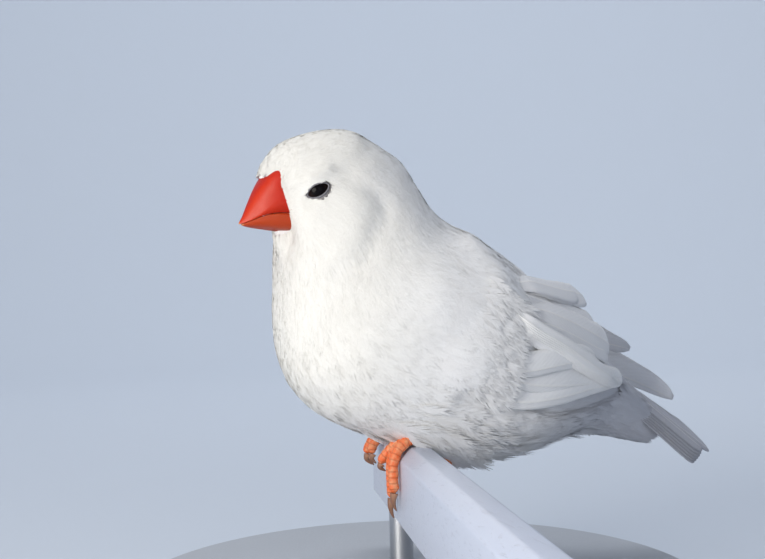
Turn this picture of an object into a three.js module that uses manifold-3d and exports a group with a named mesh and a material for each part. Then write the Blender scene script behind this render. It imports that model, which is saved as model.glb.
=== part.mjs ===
// White zebra finch, life size, perched on a short length of bar on a plain display stand.
// Millimetres. The origin is the middle of the stand's underside, +Z is up.
// The body points along -Y, and the bird's left is +X.
import * as THREE from 'three';
import Module from 'manifold-3d';
import { mergeVertices } from 'three/addons/utils/BufferGeometryUtils.js';

const wasm = await Module();
wasm.setup();

// Sizes of the stand and the perch
const BASE_RADIUS = 50;
const BASE_THICK = 6;
const BASE_CHAMFER = 1;
const BASE_SIDES = 40;
const PERCH_TOP = 30;
const PERCH_HEIGHT = 13;
const PERCH_HALF = 3.5;
const PERCH_CHAMFER = 2;
const PERCH_NEAR = 92;
const PERCH_FAR = 26;
const PERCH_YAW_DEG = 12.2;
const ROD_RADIUS = 2.2;
const ROD_SIDES = 12;
const ROD_PLACES = [-14, 32];

// Gaps between neighbours, and how finely the body is drawn
const GAP = 0.3;
const CUT = 0.12;
const HEAD_STEPS = 3;
const TRUNK_STEPS = 2;
const ROUND_STEPS = 22;

// The body's outline in its mid-plane: each station joins a point of the upper line to one of the
// lower line (both y, z), with the half width there, how far the widest line leans to the upper
// side, and how square the cross-section is (1 is an ellipse, less is fuller). Round the bill the
// sides of the face lie back by `back` from the middle.
const BODY = [
  { at: 'bill root', top: [-27.1, 75.4], under: [-24.6, 65.5], half: 4.4, lean: 0.06, full: 0.6, back: 2.05 },
  { at: 'forehead', top: [-26.1, 77.7], under: [-24.3, 64.0], half: 5.5, lean: 0.08, full: 0.72, back: 1.75 },
  { at: 'brow', top: [-23.0, 80.9], under: [-23.7, 62.2], half: 6.9, lean: 0.08, full: 0.78, back: 0.8 },
  { at: 'crown', top: [-17.2, 83.0], under: [-23.5, 59.2], half: 8.5, lean: 0.08, full: 0.76 },
  { at: 'hind crown', top: [-11.4, 83.3], under: [-23.7, 55.4], half: 9.9, lean: 0.07, full: 0.75 },
  { at: 'nape', top: [-6.4, 81.0], under: [-23.8, 51.4], half: 11.5, lean: 0.03, full: 0.78 },
  { at: 'neck', top: [-2.0, 78.4], under: [-23.4, 47.2], half: 13.1, lean: -0.05, full: 0.82 },
  { at: 'hind neck', top: [0.9, 74.3], under: [-22.5, 43.2], half: 15.0, lean: -0.05, full: 0.88 },
  { at: 'shoulder', top: [4.2, 69.5], under: [-20.5, 39.2], half: 17.0, lean: -0.02, full: 0.92 },
  { at: 'mantle', top: [10.4, 65.6], under: [-16.8, 35.4], half: 18.4, lean: 0.04, full: 0.94 },
  { at: 'upper back', top: [17.0, 61.4], under: [-10.6, 32.2], half: 19.1, lean: 0.06, full: 0.94 },
  { at: 'mid back', top: [24.0, 56.4], under: [-3.0, 29.5], half: 19.0, lean: 0.05, full: 0.94 },
  { at: 'lower back', top: [29.4, 51.0], under: [4.8, 27.2], half: 17.9, lean: 0.03, full: 0.94 },
  { at: 'rump', top: [33.6, 46.2], under: [12.4, 26.2], half: 15.4, lean: 0.0, full: 0.94 },
  { at: 'rump end', top: [37.6, 42.2], under: [20.2, 27.2], half: 12.0, lean: 0.0, full: 0.95 },
  { at: 'vent', top: [41.8, 38.6], under: [28.2, 29.2], half: 8.0, lean: 0.0, full: 0.95 },
  { at: 'tail coverts', top: [46.0, 35.0], under: [36.6, 28.6], half: 5.4, lean: 0.0, full: 0.95 },
  { at: 'covert tips', top: [49.6, 31.0], under: [45.4, 26.6], half: 3.0, lean: 0.0, full: 0.95 },
];
const BACK_CURVE = 0.3;
const HEAD_END = 5.0;
const NECK_END = 7.4;

// The head is turned a little to the bird's left; the turn fades out down the neck.
const HEAD_TURN_DEG = 7;
const TURN_PIVOT_Y = -4;
const TURN_FULL = 4;
const TURN_NONE = 8;

// Bill: each row has y, the ridge's height, the gape's height, the half width, and how square the
// section is (2 is an ellipse), from the base to the tip.
const BILL_UPPER = [
  [-20.9, 77.4, 69.0, 4.3, 5.5], [-22.9, 77.3, 69.0, 4.3, 5.5], [-24.6, 76.5, 69.1, 4.05, 5.0],
  [-26.3, 75.1, 68.9, 3.35, 3.4], [-27.7, 73.2, 68.45, 2.5, 2.5], [-28.9, 70.9, 67.9, 1.6, 2.1],
  [-29.8, 68.9, 67.6, 0.85, 2.0], [-30.5, 67.8, 67.4, 0.3, 2.0],
];
const BILL_LOWER = [
  [-20.9, 66.0, 69.0, 4.15, 3.0], [-22.9, 66.2, 69.0, 4.1, 3.0], [-24.6, 66.45, 69.1, 3.75, 2.8],
  [-26.3, 66.65, 68.9, 3.05, 2.4], [-27.7, 66.8, 68.45, 2.25, 2.2], [-28.9, 66.95, 67.9, 1.4, 2.0],
  [-29.7, 67.1, 67.62, 0.7, 2.0], [-30.1, 67.2, 67.5, 0.25, 2.0],
];
const BILL_GAP = 0.12;
const BILL_ROUND = 9;

// Eyes: balls set in sockets of the head
const EYE_RADIUS = 2.45;
const EYE_PLACE = [6.2, -19.0, 72.4];
const EYE_DETAIL = [12, 8];

// Wings: every blade runs from its root to its tip between an upper and a lower edge (x, y, z).
const BLADE_EDGE = 0.6;
const TIP_FROM = 0.8;
const TIP_OVER = 0.21;
const BLADE_STEPS = 10;
const BLADE_ACROSS = 3;
const WING_LEFT = [
  {
    upper: [[18.3, 9, 55], [18.8, 14, 50.4], [17.3, 21.5, 47.1], [13.6, 30.2, 42.9], [9.6, 36.0, 39.3]],
    lower: [[18.6, 4, 42], [18.6, 11, 37.6], [16.9, 19.2, 36.0], [13.2, 28.2, 36.9], [9.5, 36.2, 38.4]],
    bulge: 1.2,
    thick: 1.9,
  },
  {
    upper: [[12.6, 11, 60.2], [12.2, 20.5, 56.2], [10.4, 29.0, 52.0], [8.6, 35.2, 47.0]],
    lower: [[18.4, 12, 50.8], [17.4, 20.4, 47.9], [14.4, 28.3, 44.8], [10.6, 33.6, 43.8]],
    bulge: 1.3,
    thick: 1.6,
  },
  {
    upper: [[5.6, 13, 62.2], [6.4, 20.4, 58.3], [5.8, 26.8, 56.0], [5.2, 31.4, 53.4]],
    lower: [[14.4, 12, 57.0], [13.4, 19.6, 53.4], [11.2, 26.2, 51.0], [8.4, 30.8, 51.4]],
    bulge: 1.2,
    thick: 1.5,
  },
];
const WING_RIGHT = [
  {
    upper: [[-17.8, 12, 54.6], [-15.6, 23, 51.4], [-10.0, 35, 48.2], [-5.6, 46.6, 42.4], [-3.2, 55.4, 34.2]],
    lower: [[-18.8, 7, 43], [-18.0, 18, 39.4], [-14.0, 31, 37.6], [-8.0, 44.6, 36.4], [-2.9, 55.6, 33.2]],
    bulge: 1.2,
    thick: 1.9,
  },
  {
    upper: [[-12.6, 11, 60.2], [-12.0, 21, 56.4], [-8.8, 32.0, 52.0], [-4.4, 45.6, 45.4]],
    lower: [[-18.4, 12, 50.8], [-16.4, 23, 47.9], [-12.2, 34, 44.8], [-5.6, 47.0, 42.4]],
    bulge: 1.3,
    thick: 1.6,
  },
  {
    upper: [[-5.6, 13, 62.2], [-6.4, 20.4, 58.3], [-5.8, 26.8, 55.6], [-5.2, 31.4, 52.6]],
    lower: [[-14.4, 12, 57.0], [-13.4, 19.6, 53.4], [-11.2, 26.2, 51.0], [-8.4, 30.8, 51.0]],
    bulge: 1.2,
    thick: 1.5,
  },
];

// Tail: blades side by side on a sloping axis, rolled so that the left edge hangs lower
const TAIL_ROOT = [0.6, 36.4, 41.4];
const TAIL_SLOPE_DEG = 37;
const TAIL_ROLL_DEG = 26;
const TAIL_THICK = 0.8;
const TAIL_STEPS = 7;
const TAIL_WAIST = 0.55;
const TAIL_TIP_FROM = 0.86;
const TAIL_TIP_OVER = 0.145;
const TAIL_BLADES = [
  { out: 0.0, length: 31.0, half: 3.0, splay: 0.0, lift: 0.7 },
  { out: 1.8, length: 30.2, half: 2.8, splay: 3.4, lift: 0.1 },
  { out: 3.2, length: 27.2, half: 2.6, splay: 6.0, lift: -0.6 },
  { out: -1.7, length: 30.0, half: 2.8, splay: -2.5, lift: 0.1 },
  { out: -2.8, length: 28.4, half: 2.6, splay: -4.5, lift: -0.6 },
];

// Feet: where each foot's joint sits along the bar, and how each toe runs from it
const TOE_RADIUS = 1.0;
const TOE_TIP_RADIUS = 0.78;
const TOE_SIDES = 6;
const CLAW_RADIUS = 0.55;
const CLAW_TIP_RADIUS = 0.24;
const TOE_REST = 0.12;
const SHANK_RADIUS = 1.15;
const SHANK_RISE = 4.6;
const JOINT_LIFT = 0.5;
const JOINT_BACK = 0.2;
const FOOT_LEFT = {
  along: 8.6,
  toes: [
    { name: 'inner', end: 5.0, out: 1.3, down: 3.1, arch: 0.3, claw: 1.3 },
    { name: 'middle', end: 7.2, out: 0.0, down: 8.6, arch: 0, claw: 3.4 },
    { name: 'outer', end: 10.4, out: 0.0, down: 7.2, arch: 0, claw: 3.0 },
  ],
};
const FOOT_RIGHT = {
  along: -11.0,
  toes: [
    { name: 'inner', end: -8.8, out: 1.0, down: 3.4, arch: 0.5, claw: 1.8 },
    { name: 'middle', end: -11.6, out: 1.6, down: 3.8, arch: 0.7, claw: 2.0 },
    { name: 'outer', end: -14.6, out: 0.6, down: 4.4, arch: 0.3, claw: 2.0 },
  ],
};
const HALLUX_DOWN = 6.4;
const HALLUX_CLAW = 2.8;
const HALLUX_ASIDE = 0.4;

const COLOURS = {
  white: 0xf2f0ec,
  shade: 0xe6e4e4,
  bill: 0xd8351c,
  eye: 0x0b0909,
  toe: 0xe07038,
  claw: 0x5a3a2c,
  perch: 0xe4e4f0,
  stand: 0x8d9096,
};

const group = new THREE.Group();
const V = (x, y, z) => new THREE.Vector3(x, y, z);
const rad = THREE.MathUtils.degToRad;

function catmull(rows, t) {
  // Smooth value at t (in rows) through a list of equal-length number lists
  const last = rows.length - 1;
  const span = Math.min(Math.floor(t), last - 1);
  const f = t - span;
  const row = (k) => {
    if (k < 0) return rows[0].map((v, i) => 2 * v - rows[1][i]);
    if (k > last) return rows[last].map((v, i) => 2 * v - rows[last - 1][i]);
    return rows[k];
  };
  const [a, b, c, d] = [row(span - 1), row(span), row(span + 1), row(span + 2)];
  return b.map((v, i) => 0.5 * (2 * v + (c[i] - a[i]) * f
    + (2 * a[i] - 5 * v + 4 * c[i] - d[i]) * f * f
    + (3 * v - a[i] - 3 * c[i] + d[i]) * f * f * f));
}

function closedLoft(rings) {
  // A closed solid from equal rings of points, with a fan over each end
  const count = rings[0].length;
  const positions = [];
  const push = (...points) => points.forEach((p) => positions.push(p.x, p.y, p.z));
  const centre = (ring) => ring.reduce((sum, p) => sum.add(p), V(0, 0, 0)).divideScalar(count);
  for (let i = 0; i + 1 < rings.length; i += 1) {
    for (let j = 0; j < count; j += 1) {
      const k = (j + 1) % count;
      push(rings[i][j], rings[i + 1][j], rings[i + 1][k]);
      push(rings[i][j], rings[i + 1][k], rings[i][k]);
    }
  }
  const first = rings[0];
  const final = rings[rings.length - 1];
  for (let j = 0; j < count; j += 1) {
    const k = (j + 1) % count;
    push(centre(first), first[j], first[k]);
    push(centre(final), final[k], final[j]);
  }
  const geometry = new THREE.BufferGeometry();
  geometry.setAttribute('position', new THREE.Float32BufferAttribute(positions, 3));
  return outward(geometry);
}

function outward(geometry) {
  // Turns the faces round if the enclosed volume comes out negative
  const array = geometry.attributes.position.array;
  let volume = 0;
  for (let i = 0; i < array.length; i += 9) {
    const [ax, ay, az, bx, by, bz, cx, cy, cz] = array.slice(i, i + 9);
    volume += ax * (by * cz - bz * cy) - ay * (bx * cz - bz * cx) + az * (bx * cy - by * cx);
  }
  if (volume > 0) return geometry;
  for (let i = 0; i < array.length; i += 9) {
    for (let k = 0; k < 3; k += 1) {
      const held = array[i + 3 + k];
      array[i + 3 + k] = array[i + 6 + k];
      array[i + 6 + k] = held;
    }
  }
  return geometry;
}

function solid(geometry) {
  // The same surface as a solid that can be cut
  const clean = geometry.clone();
  clean.deleteAttribute('normal');
  clean.deleteAttribute('uv');
  const merged = mergeVertices(clean, 1e-4);
  return new wasm.Manifold(new wasm.Mesh({
    numProp: 3,
    vertProperties: new Float32Array(merged.attributes.position.array),
    triVerts: new Uint32Array(merged.index.array),
  }));
}

function geometryOf(body) {
  const mesh = body.getMesh();
  const geometry = new THREE.BufferGeometry();
  geometry.setAttribute('position', new THREE.BufferAttribute(new Float32Array(mesh.vertProperties), 3));
  geometry.setIndex(new THREE.BufferAttribute(new Uint32Array(mesh.triVerts), 1));
  return geometry;
}

function cut(geometry, ...tools) {
  return geometryOf(tools.reduce((left, tool) => left.subtract(solid(tool)), solid(geometry)));
}

function join(...pieces) {
  return geometryOf(pieces.map(solid).reduce((all, one) => all.add(one)));
}

function add(name, geometry, colour, roughness) {
  const material = new THREE.MeshStandardMaterial({ color: colour, roughness, metalness: 0 });
  const mesh = new THREE.Mesh(geometry, material);
  mesh.name = name;
  group.add(mesh);
}

// The body's surface, as rings along its stations
const BODY_ROWS = BODY.map((b) => [...b.top, ...b.under, b.half, b.lean, b.full, b.back || 0]);

function headTurn(point, s) {
  const part = Math.min(Math.max((TURN_NONE - s) / (TURN_NONE - TURN_FULL), 0), 1);
  const angle = rad(HEAD_TURN_DEG) * part * part * (3 - 2 * part);
  const y = point.y - TURN_PIVOT_Y;
  const turnedX = point.x * Math.cos(angle) - y * Math.sin(angle);
  const turnedY = point.x * Math.sin(angle) + y * Math.cos(angle);
  return V(turnedX, turnedY + TURN_PIVOT_Y, point.z);
}

function bodyRing(s) {
  const [topY, topZ, underY, underZ, half, lean, full, back] = catmull(BODY_ROWS, s);
  const ring = [];
  for (let j = 0; j < ROUND_STEPS; j += 1) {
    const angle = (2 * Math.PI * j) / ROUND_STEPS;
    const c = Math.cos(angle);
    const sn = Math.sin(angle);
    const x = half * Math.sign(sn) * Math.abs(sn) ** full * (1 + lean * c);
    const y = (topY + underY) / 2 + ((topY - underY) / 2) * c + back * (1 - Math.exp(-((sn / BACK_CURVE) ** 2)));
    const z = (topZ + underZ) / 2 + ((topZ - underZ) / 2) * c;
    ring.push(headTurn(V(x, y, z), s));
  }
  return ring;
}

function bodyPiece(from, to, perSpan) {
  const steps = Math.ceil((to - from) * perSpan);
  const rings = [];
  for (let i = 0; i <= steps; i += 1) rings.push(bodyRing(from + ((to - from) * i) / steps));
  return closedLoft(rings);
}

// The perch: its directions seen from above, and its section
const YAW = rad(PERCH_YAW_DEG);
const ALONG = V(Math.cos(YAW), -Math.sin(YAW), 0);
const FRONT = V(-Math.sin(YAW), -Math.cos(YAW), 0);

function onPerch(along, front, z) {
  return V(0, 0, z).addScaledVector(ALONG, along).addScaledVector(FRONT, front);
}

function perchSolid(grow) {
  const half = PERCH_HALF + grow;
  const top = PERCH_TOP + grow;
  const bottom = PERCH_TOP - PERCH_HEIGHT - grow;
  const c = PERCH_CHAMFER;
  const section = [
    [half - c, top], [half, top - c], [half, bottom + c], [half - c, bottom],
    [c - half, bottom], [-half, bottom + c], [-half, top - c], [c - half, top],
  ];
  const rings = [-PERCH_FAR - grow, PERCH_NEAR + grow].map(
    (along) => section.map(([front, z]) => onPerch(along, front, z)));
  return closedLoft(rings);
}

function tube(path, radii, sides) {
  // A round solid swept along a smooth path of points, its radius given at each of them
  const rows = path.map((p, i) => [p.x, p.y, p.z, radii[i]]);
  const steps = (path.length - 1) * 2;
  const rings = [];
  let side = V(1, 0, 0).applyAxisAngle(V(0, 0, 1), -YAW);
  for (let i = 0; i <= steps; i += 1) {
    const t = (i / steps) * (path.length - 1);
    const here = catmull(rows, t);
    const ahead = catmull(rows, Math.min(t + 0.02, path.length - 1));
    const behind = catmull(rows, Math.max(t - 0.02, 0));
    const along = V(ahead[0] - behind[0], ahead[1] - behind[1], ahead[2] - behind[2]).normalize();
    side = side.clone().addScaledVector(along, -side.dot(along)).normalize();
    const other = V(0, 0, 0).crossVectors(along, side);
    const ring = [];
    for (let j = 0; j < sides; j += 1) {
      const angle = (2 * Math.PI * j) / sides;
      ring.push(V(here[0], here[1], here[2])
        .addScaledVector(side, Math.cos(angle) * here[3])
        .addScaledVector(other, Math.sin(angle) * here[3]));
    }
    rings.push(ring);
  }
  return closedLoft(rings);
}

// The feet: toes over the perch, shanks and claws
function toePath(foot, toe, facing) {
  // Over the bar's top edge and down its side; facing is 1 for front toes and -1 for the hind toe
  const off = TOE_RADIUS + TOE_REST;
  const mid = (share) => foot.along + (toe.end - foot.along) * share;
  const flat = PERCH_HALF - PERCH_CHAMFER;
  return [
    onPerch(foot.along, -facing * JOINT_BACK, PERCH_TOP + off + JOINT_LIFT),
    onPerch(mid(0.3), facing * flat, PERCH_TOP + off + 0.15 + toe.arch * 0.4),
    onPerch(mid(0.6), facing * (PERCH_HALF - 0.05 + toe.arch), PERCH_TOP + toe.arch * 0.3),
    onPerch(mid(0.85), facing * (PERCH_HALF + off + toe.out * 0.6 + toe.arch * 0.7), PERCH_TOP - Math.min(2.6, toe.down * 0.66)),
    onPerch(toe.end, facing * (PERCH_HALF + off + toe.out), PERCH_TOP - toe.down),
  ];
}

function clawPath(path, toe, facing) {
  // Carries on from the toe's end and hooks in towards the bar
  const end = path[path.length - 1];
  const inward = FRONT.clone().multiplyScalar(-facing);
  const reach = Math.max(0, toe.out);
  return [
    end.clone().add(V(0, 0, -TOE_TIP_RADIUS * 0.2)),
    end.clone().add(V(0, 0, -toe.claw * 0.5)).addScaledVector(inward, 0.1),
    end.clone().add(V(0, 0, -toe.claw)).addScaledVector(inward, 0.3 + reach * 0.3),
  ];
}

function footParts(foot) {
  const front = foot.toes.map((toe) => ({ toe, facing: 1 }));
  const end = foot.along - HALLUX_ASIDE;
  const hind = { name: 'hind', end, out: 0, down: HALLUX_DOWN, arch: 0, claw: HALLUX_CLAW };
  const all = [...front, { toe: hind, facing: -1 }].map(({ toe, facing }) => {
    const path = toePath(foot, toe, facing);
    return { name: toe.name, path, claw: clawPath(path, toe, facing) };
  });
  const joint = onPerch(foot.along, -JOINT_BACK, PERCH_TOP + TOE_RADIUS + TOE_REST + JOINT_LIFT);
  const shank = [
    joint,
    joint.clone().add(V(0, 0, SHANK_RISE * 0.5)).addScaledVector(FRONT, -0.7),
    joint.clone().add(V(0, 0, SHANK_RISE)).addScaledVector(FRONT, -1.6),
  ];
  return { toes: all, shank };
}

function footSolids(foot, grow) {
  const { toes, shank } = footParts(foot);
  const legs = toes.map(({ path }) => {
    const taper = (TOE_TIP_RADIUS - TOE_RADIUS) / (path.length - 1);
    return tube(path, path.map((_, i) => TOE_RADIUS + taper * i + grow), TOE_SIDES);
  });
  legs.push(tube(shank, shank.map(() => SHANK_RADIUS + grow), TOE_SIDES));
  const clawRadii = [CLAW_RADIUS, CLAW_RADIUS * 0.8, CLAW_TIP_RADIUS].map((r) => r + grow);
  const claws = toes.map(({ claw }) => tube(claw, clawRadii, TOE_SIDES));
  return { leg: join(...legs), claws };
}

// The wings and the tail, built of blades
function blade({ upper, lower, bulge, thick }, grow) {
  // A thin curved solid between two edges; its tip is rounded off over the last steps
  const rings = [];
  const spans = upper.length - 1;
  for (let i = 0; i <= BLADE_STEPS; i += 1) {
    const share = i / BLADE_STEPS;
    const t = share * spans;
    const a = V(...catmull(upper, t));
    const b = V(...catmull(lower, t));
    const middle = (where) => V(...catmull(upper, where)).add(V(...catmull(lower, where)));
    const run = middle(Math.min(t + 0.05, spans)).sub(middle(Math.max(t - 0.05, 0))).normalize();
    const out = V(0, 0, 0).crossVectors(run, a.clone().sub(b)).normalize();
    if (out.x * Math.sign(a.x + b.x) < 0) out.negate();
    const wide = b.clone().sub(a);
    const shut = (1 - Math.sqrt(1 - Math.max(0, (share - TIP_FROM) / TIP_OVER) ** 2)) / 2;
    a.addScaledVector(wide, shut);
    b.addScaledVector(wide, -shut);
    wide.normalize();
    a.addScaledVector(wide, -grow);
    b.addScaledVector(wide, grow);
    const ring = [];
    const depth = (v) => (BLADE_EDGE + (thick - BLADE_EDGE) * 4 * v * (1 - v)) + 2 * grow;
    const place = (v, inner) => a.clone().lerp(b, v)
      .addScaledVector(out, bulge * 4 * v * (1 - v) * (1 - share * 0.5) + grow - (inner ? depth(v) : 0));
    for (let j = 0; j <= BLADE_ACROSS; j += 1) ring.push(place(j / BLADE_ACROSS, false));
    for (let j = BLADE_ACROSS; j >= 0; j -= 1) ring.push(place(j / BLADE_ACROSS, true));
    rings.push(ring);
  }
  return closedLoft(rings);
}

function wing(blades, grow) {
  return join(...blades.map((one) => blade(one, grow)));
}

const TAIL_AXIS = V(0, Math.cos(rad(TAIL_SLOPE_DEG)), -Math.sin(rad(TAIL_SLOPE_DEG)));
const TAIL_OUT = V(1, 0, 0).applyAxisAngle(TAIL_AXIS, rad(TAIL_ROLL_DEG));
const TAIL_UP = V(0, 0, 0).crossVectors(TAIL_OUT, TAIL_AXIS);

function tailBlade({ out, length, half, splay, lift }, grow) {
  // One feather of the tail: nearly parallel edges and a rounded end
  const rings = [];
  for (let i = 0; i <= TAIL_STEPS; i += 1) {
    const share = i / TAIL_STEPS;
    const go = (length + grow * (i === TAIL_STEPS ? 1 : 0)) * share;
    const shaft = TAIL_WAIST + (1 - TAIL_WAIST) * Math.min(share * 2, 1);
    const round = Math.sqrt(1 - Math.max(0, (share - TAIL_TIP_FROM) / TAIL_TIP_OVER) ** 2);
    const width = half * shaft * round + grow;
    const mid = V(...TAIL_ROOT)
      .addScaledVector(TAIL_AXIS, go)
      .addScaledVector(TAIL_OUT, out * (0.4 + 0.6 * share) + Math.sin(rad(splay)) * go * 0.55)
      .addScaledVector(TAIL_UP, lift);
    const deep = TAIL_THICK / 2 + grow;
    rings.push([[1, 1], [-1, 1], [-1, -1], [1, -1]].map(([across, over]) => mid.clone()
      .addScaledVector(TAIL_OUT, across * width).addScaledVector(TAIL_UP, over * deep)));
  }
  return closedLoft(rings);
}

function tail(grow) {
  return join(...TAIL_BLADES.map((one) => tailBlade(one, grow)));
}

// The bill: two half cones that meet at the gape
function mandible(rows, sign, grow) {
  // The upper half with sign 1, the lower one with sign -1
  const rings = rows.map(([y, ridge, gape, half, square], i) => {
    const end = i === 0 ? grow : i === rows.length - 1 ? -grow : 0;
    const height = Math.max(Math.abs(ridge - gape) - BILL_GAP / 2, 0.3) + 2 * grow;
    const ring = [];
    for (let j = 0; j <= BILL_ROUND; j += 1) {
      const angle = (Math.PI * j) / BILL_ROUND;
      const x = (half + grow) * Math.sign(Math.cos(angle)) * Math.abs(Math.cos(angle)) ** (2 / square);
      const rise = Math.sin(angle) ** (2 / square);
      ring.push(headTurn(V(x, y + end, gape + sign * (BILL_GAP / 2 - grow + rise * height)), 0));
    }
    return ring;
  });
  return closedLoft(rings);
}

function eye(side, grow) {
  // A ball in its socket, on the left with side 1 and on the right with side -1
  const ball = new THREE.SphereGeometry(EYE_RADIUS + grow, ...EYE_DETAIL);
  const place = headTurn(V(side * EYE_PLACE[0], EYE_PLACE[1], EYE_PLACE[2]), 0);
  ball.rotateZ(Math.PI / 2 * side);
  ball.translate(place.x, place.y, place.z);
  return ball;
}

// The stand: turned pieces
function turned(profile, sides) {
  const geometry = new THREE.LatheGeometry(profile.map(([r, z]) => new THREE.Vector2(r, z)), sides);
  geometry.rotateX(Math.PI / 2);
  return outward(geometry.toNonIndexed());
}

function rod(along) {
  const top = PERCH_TOP - PERCH_HEIGHT;
  const profile = [[0, BASE_THICK], [ROD_RADIUS, BASE_THICK], [ROD_RADIUS, top], [0, top]];
  const geometry = turned(profile, ROD_SIDES);
  const foot = onPerch(along, 0, 0);
  geometry.translate(foot.x, foot.y, 0);
  return geometry;
}

// The assembly
const left = footSolids(FOOT_LEFT, 0);
const right = footSolids(FOOT_RIGHT, 0);
const pockets = [
  perchSolid(GAP), footSolids(FOOT_LEFT, GAP).leg, footSolids(FOOT_RIGHT, GAP).leg,
  wing(WING_LEFT, GAP), wing(WING_RIGHT, GAP), tail(GAP),
  ...footSolids(FOOT_LEFT, GAP).claws, ...footSolids(FOOT_RIGHT, GAP).claws,
];

const sockets = [
  mandible(BILL_UPPER, 1, GAP), mandible(BILL_LOWER, -1, GAP), eye(1, GAP), eye(-1, GAP),
];

add('head', cut(bodyPiece(0, HEAD_END - CUT, HEAD_STEPS), ...sockets), COLOURS.white, 0.9);
add('neck', bodyPiece(HEAD_END, NECK_END - CUT, HEAD_STEPS), COLOURS.white, 0.9);
add('trunk', cut(bodyPiece(NECK_END, BODY.length - 1, TRUNK_STEPS), ...pockets), COLOURS.white, 0.9);
add('bill_upper', cut(mandible(BILL_UPPER, 1, 0), eye(1, GAP), eye(-1, GAP)), COLOURS.bill, 0.35);
add('bill_lower', mandible(BILL_LOWER, -1, 0), COLOURS.bill, 0.35);
add('eye_left', eye(1, 0), COLOURS.eye, 0.1);
add('eye_right', eye(-1, 0), COLOURS.eye, 0.1);
add('wing_left', wing(WING_LEFT, 0), COLOURS.shade, 0.8);
add('wing_right', wing(WING_RIGHT, 0), COLOURS.shade, 0.8);
add('tail', cut(tail(0), wing(WING_RIGHT, GAP), wing(WING_LEFT, GAP)), COLOURS.shade, 0.8);
add('leg_left', left.leg, COLOURS.toe, 0.6);
add('leg_right', right.leg, COLOURS.toe, 0.6);
['inner', 'middle', 'outer', 'hind'].forEach((name, i) => {
  add(`claw_left_${name}`, cut(left.claws[i], left.leg), COLOURS.claw, 0.5);
  add(`claw_right_${name}`, cut(right.claws[i], right.leg), COLOURS.claw, 0.5);
});
add('perch', perchSolid(0), COLOURS.perch, 0.4);
add('stand_base', turned([
  [0, 0], [BASE_RADIUS, 0], [BASE_RADIUS, BASE_THICK - BASE_CHAMFER],
  [BASE_RADIUS - BASE_CHAMFER, BASE_THICK], [0, BASE_THICK],
], BASE_SIDES), COLOURS.stand, 0.5);
ROD_PLACES.forEach((along, i) => add(`stand_rod_${i + 1}`, rod(along), COLOURS.stand, 0.4));

export default group;
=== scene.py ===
"""White zebra finch, life size, perched on a cut bar that a plain display stand holds up.

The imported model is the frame: millimetre sizes below are in its axes, with +Z up, the bird's body
heading along -Y and its left side on +X. One skin carries the whole coat. Every feather of the coat
is a small fan of barbs laid over that skin, and the wings and the tail are built of whole vanes.
"""

import logging
import math
from dataclasses import dataclass, field, replace
from enum import Enum
from typing import Callable, Sequence

import bpy
import numpy as np
from mathutils import Matrix, Vector


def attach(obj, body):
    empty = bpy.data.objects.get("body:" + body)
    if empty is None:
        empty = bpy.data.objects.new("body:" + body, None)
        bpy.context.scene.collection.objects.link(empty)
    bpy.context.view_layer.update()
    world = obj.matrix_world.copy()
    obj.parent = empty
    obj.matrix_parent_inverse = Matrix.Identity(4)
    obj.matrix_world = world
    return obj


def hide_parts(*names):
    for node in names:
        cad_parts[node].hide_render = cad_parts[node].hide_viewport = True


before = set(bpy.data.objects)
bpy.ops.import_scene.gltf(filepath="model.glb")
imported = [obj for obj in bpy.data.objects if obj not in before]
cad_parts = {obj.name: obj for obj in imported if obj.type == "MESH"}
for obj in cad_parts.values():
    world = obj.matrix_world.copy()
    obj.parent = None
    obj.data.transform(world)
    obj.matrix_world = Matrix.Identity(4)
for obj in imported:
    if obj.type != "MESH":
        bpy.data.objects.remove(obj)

MM = 0.001
BODY = "root"
COAT_MAP = "OFBake"
TUFT_PATCH = 0.003
LOG = logging.getLogger("zebra_finch")
Array = np.ndarray
Point = tuple[float, float, float]
Colour = Point
Material = bpy.types.Material
MeshData = dict[str, object]


# Curves and small helpers


def smooth_rows(rows: Array, t: Array) -> Array:
    """Smooth value at t, counted in rows, through a list of rows (Catmull-Rom, ends carried straight on).

    Args:
        rows: (n, k) numbers to pass through.
        t: (m,) places, 0 for the first row and n - 1 for the last.

    Returns:
        (m, k) values.
    """
    rows = np.asarray(rows, float)
    full = np.vstack([2 * rows[0] - rows[1], rows, 2 * rows[-1] - rows[-2]])
    t = np.asarray(t, float)
    span = np.clip(np.floor(t).astype(int), 0, len(rows) - 2)
    f = (t - span)[:, None]
    a, b, c, d = (full[span + k] for k in range(4))
    return 0.5 * (2 * b + (c - a) * f + (2 * a - 5 * b + 4 * c - d) * f**2 + (3 * b - a - 3 * c + d) * f**3)


def smoothstep(low: float, high: float, x: Array) -> Array:
    """0 below low, 1 above high, and a smooth rise between them."""
    t = np.clip((x - low) / (high - low), 0.0, 1.0)
    return t * t * (3 - 2 * t)


def unit(v: Array) -> Array:
    """Vectors (..., 3) scaled to length one."""
    return v / np.maximum(np.linalg.norm(v, axis=-1, keepdims=True), 1e-9)


def turn_angles(count: int) -> Array:
    """Angles of a number of equal steps round a full turn."""
    return np.linspace(0, 2 * math.pi, count, endpoint=False)


def line_distance(points: Array, line: Sequence[tuple[float, float]]) -> Array:
    """Distance of (n, 2) points from a chain of straight pieces.

    Args:
        points: (n, 2) points.
        line: Its corners.

    Returns:
        (n,) distances.
    """
    best = np.full(len(points), np.inf)
    for a, b in zip(np.array(line[:-1], float), np.array(line[1:], float)):
        along = np.clip(((points - a) @ (b - a)) / max((b - a) @ (b - a), 1e-9), 0, 1)
        best = np.minimum(best, np.linalg.norm(points - a - along[:, None] * (b - a), axis=1))
    return best


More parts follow.
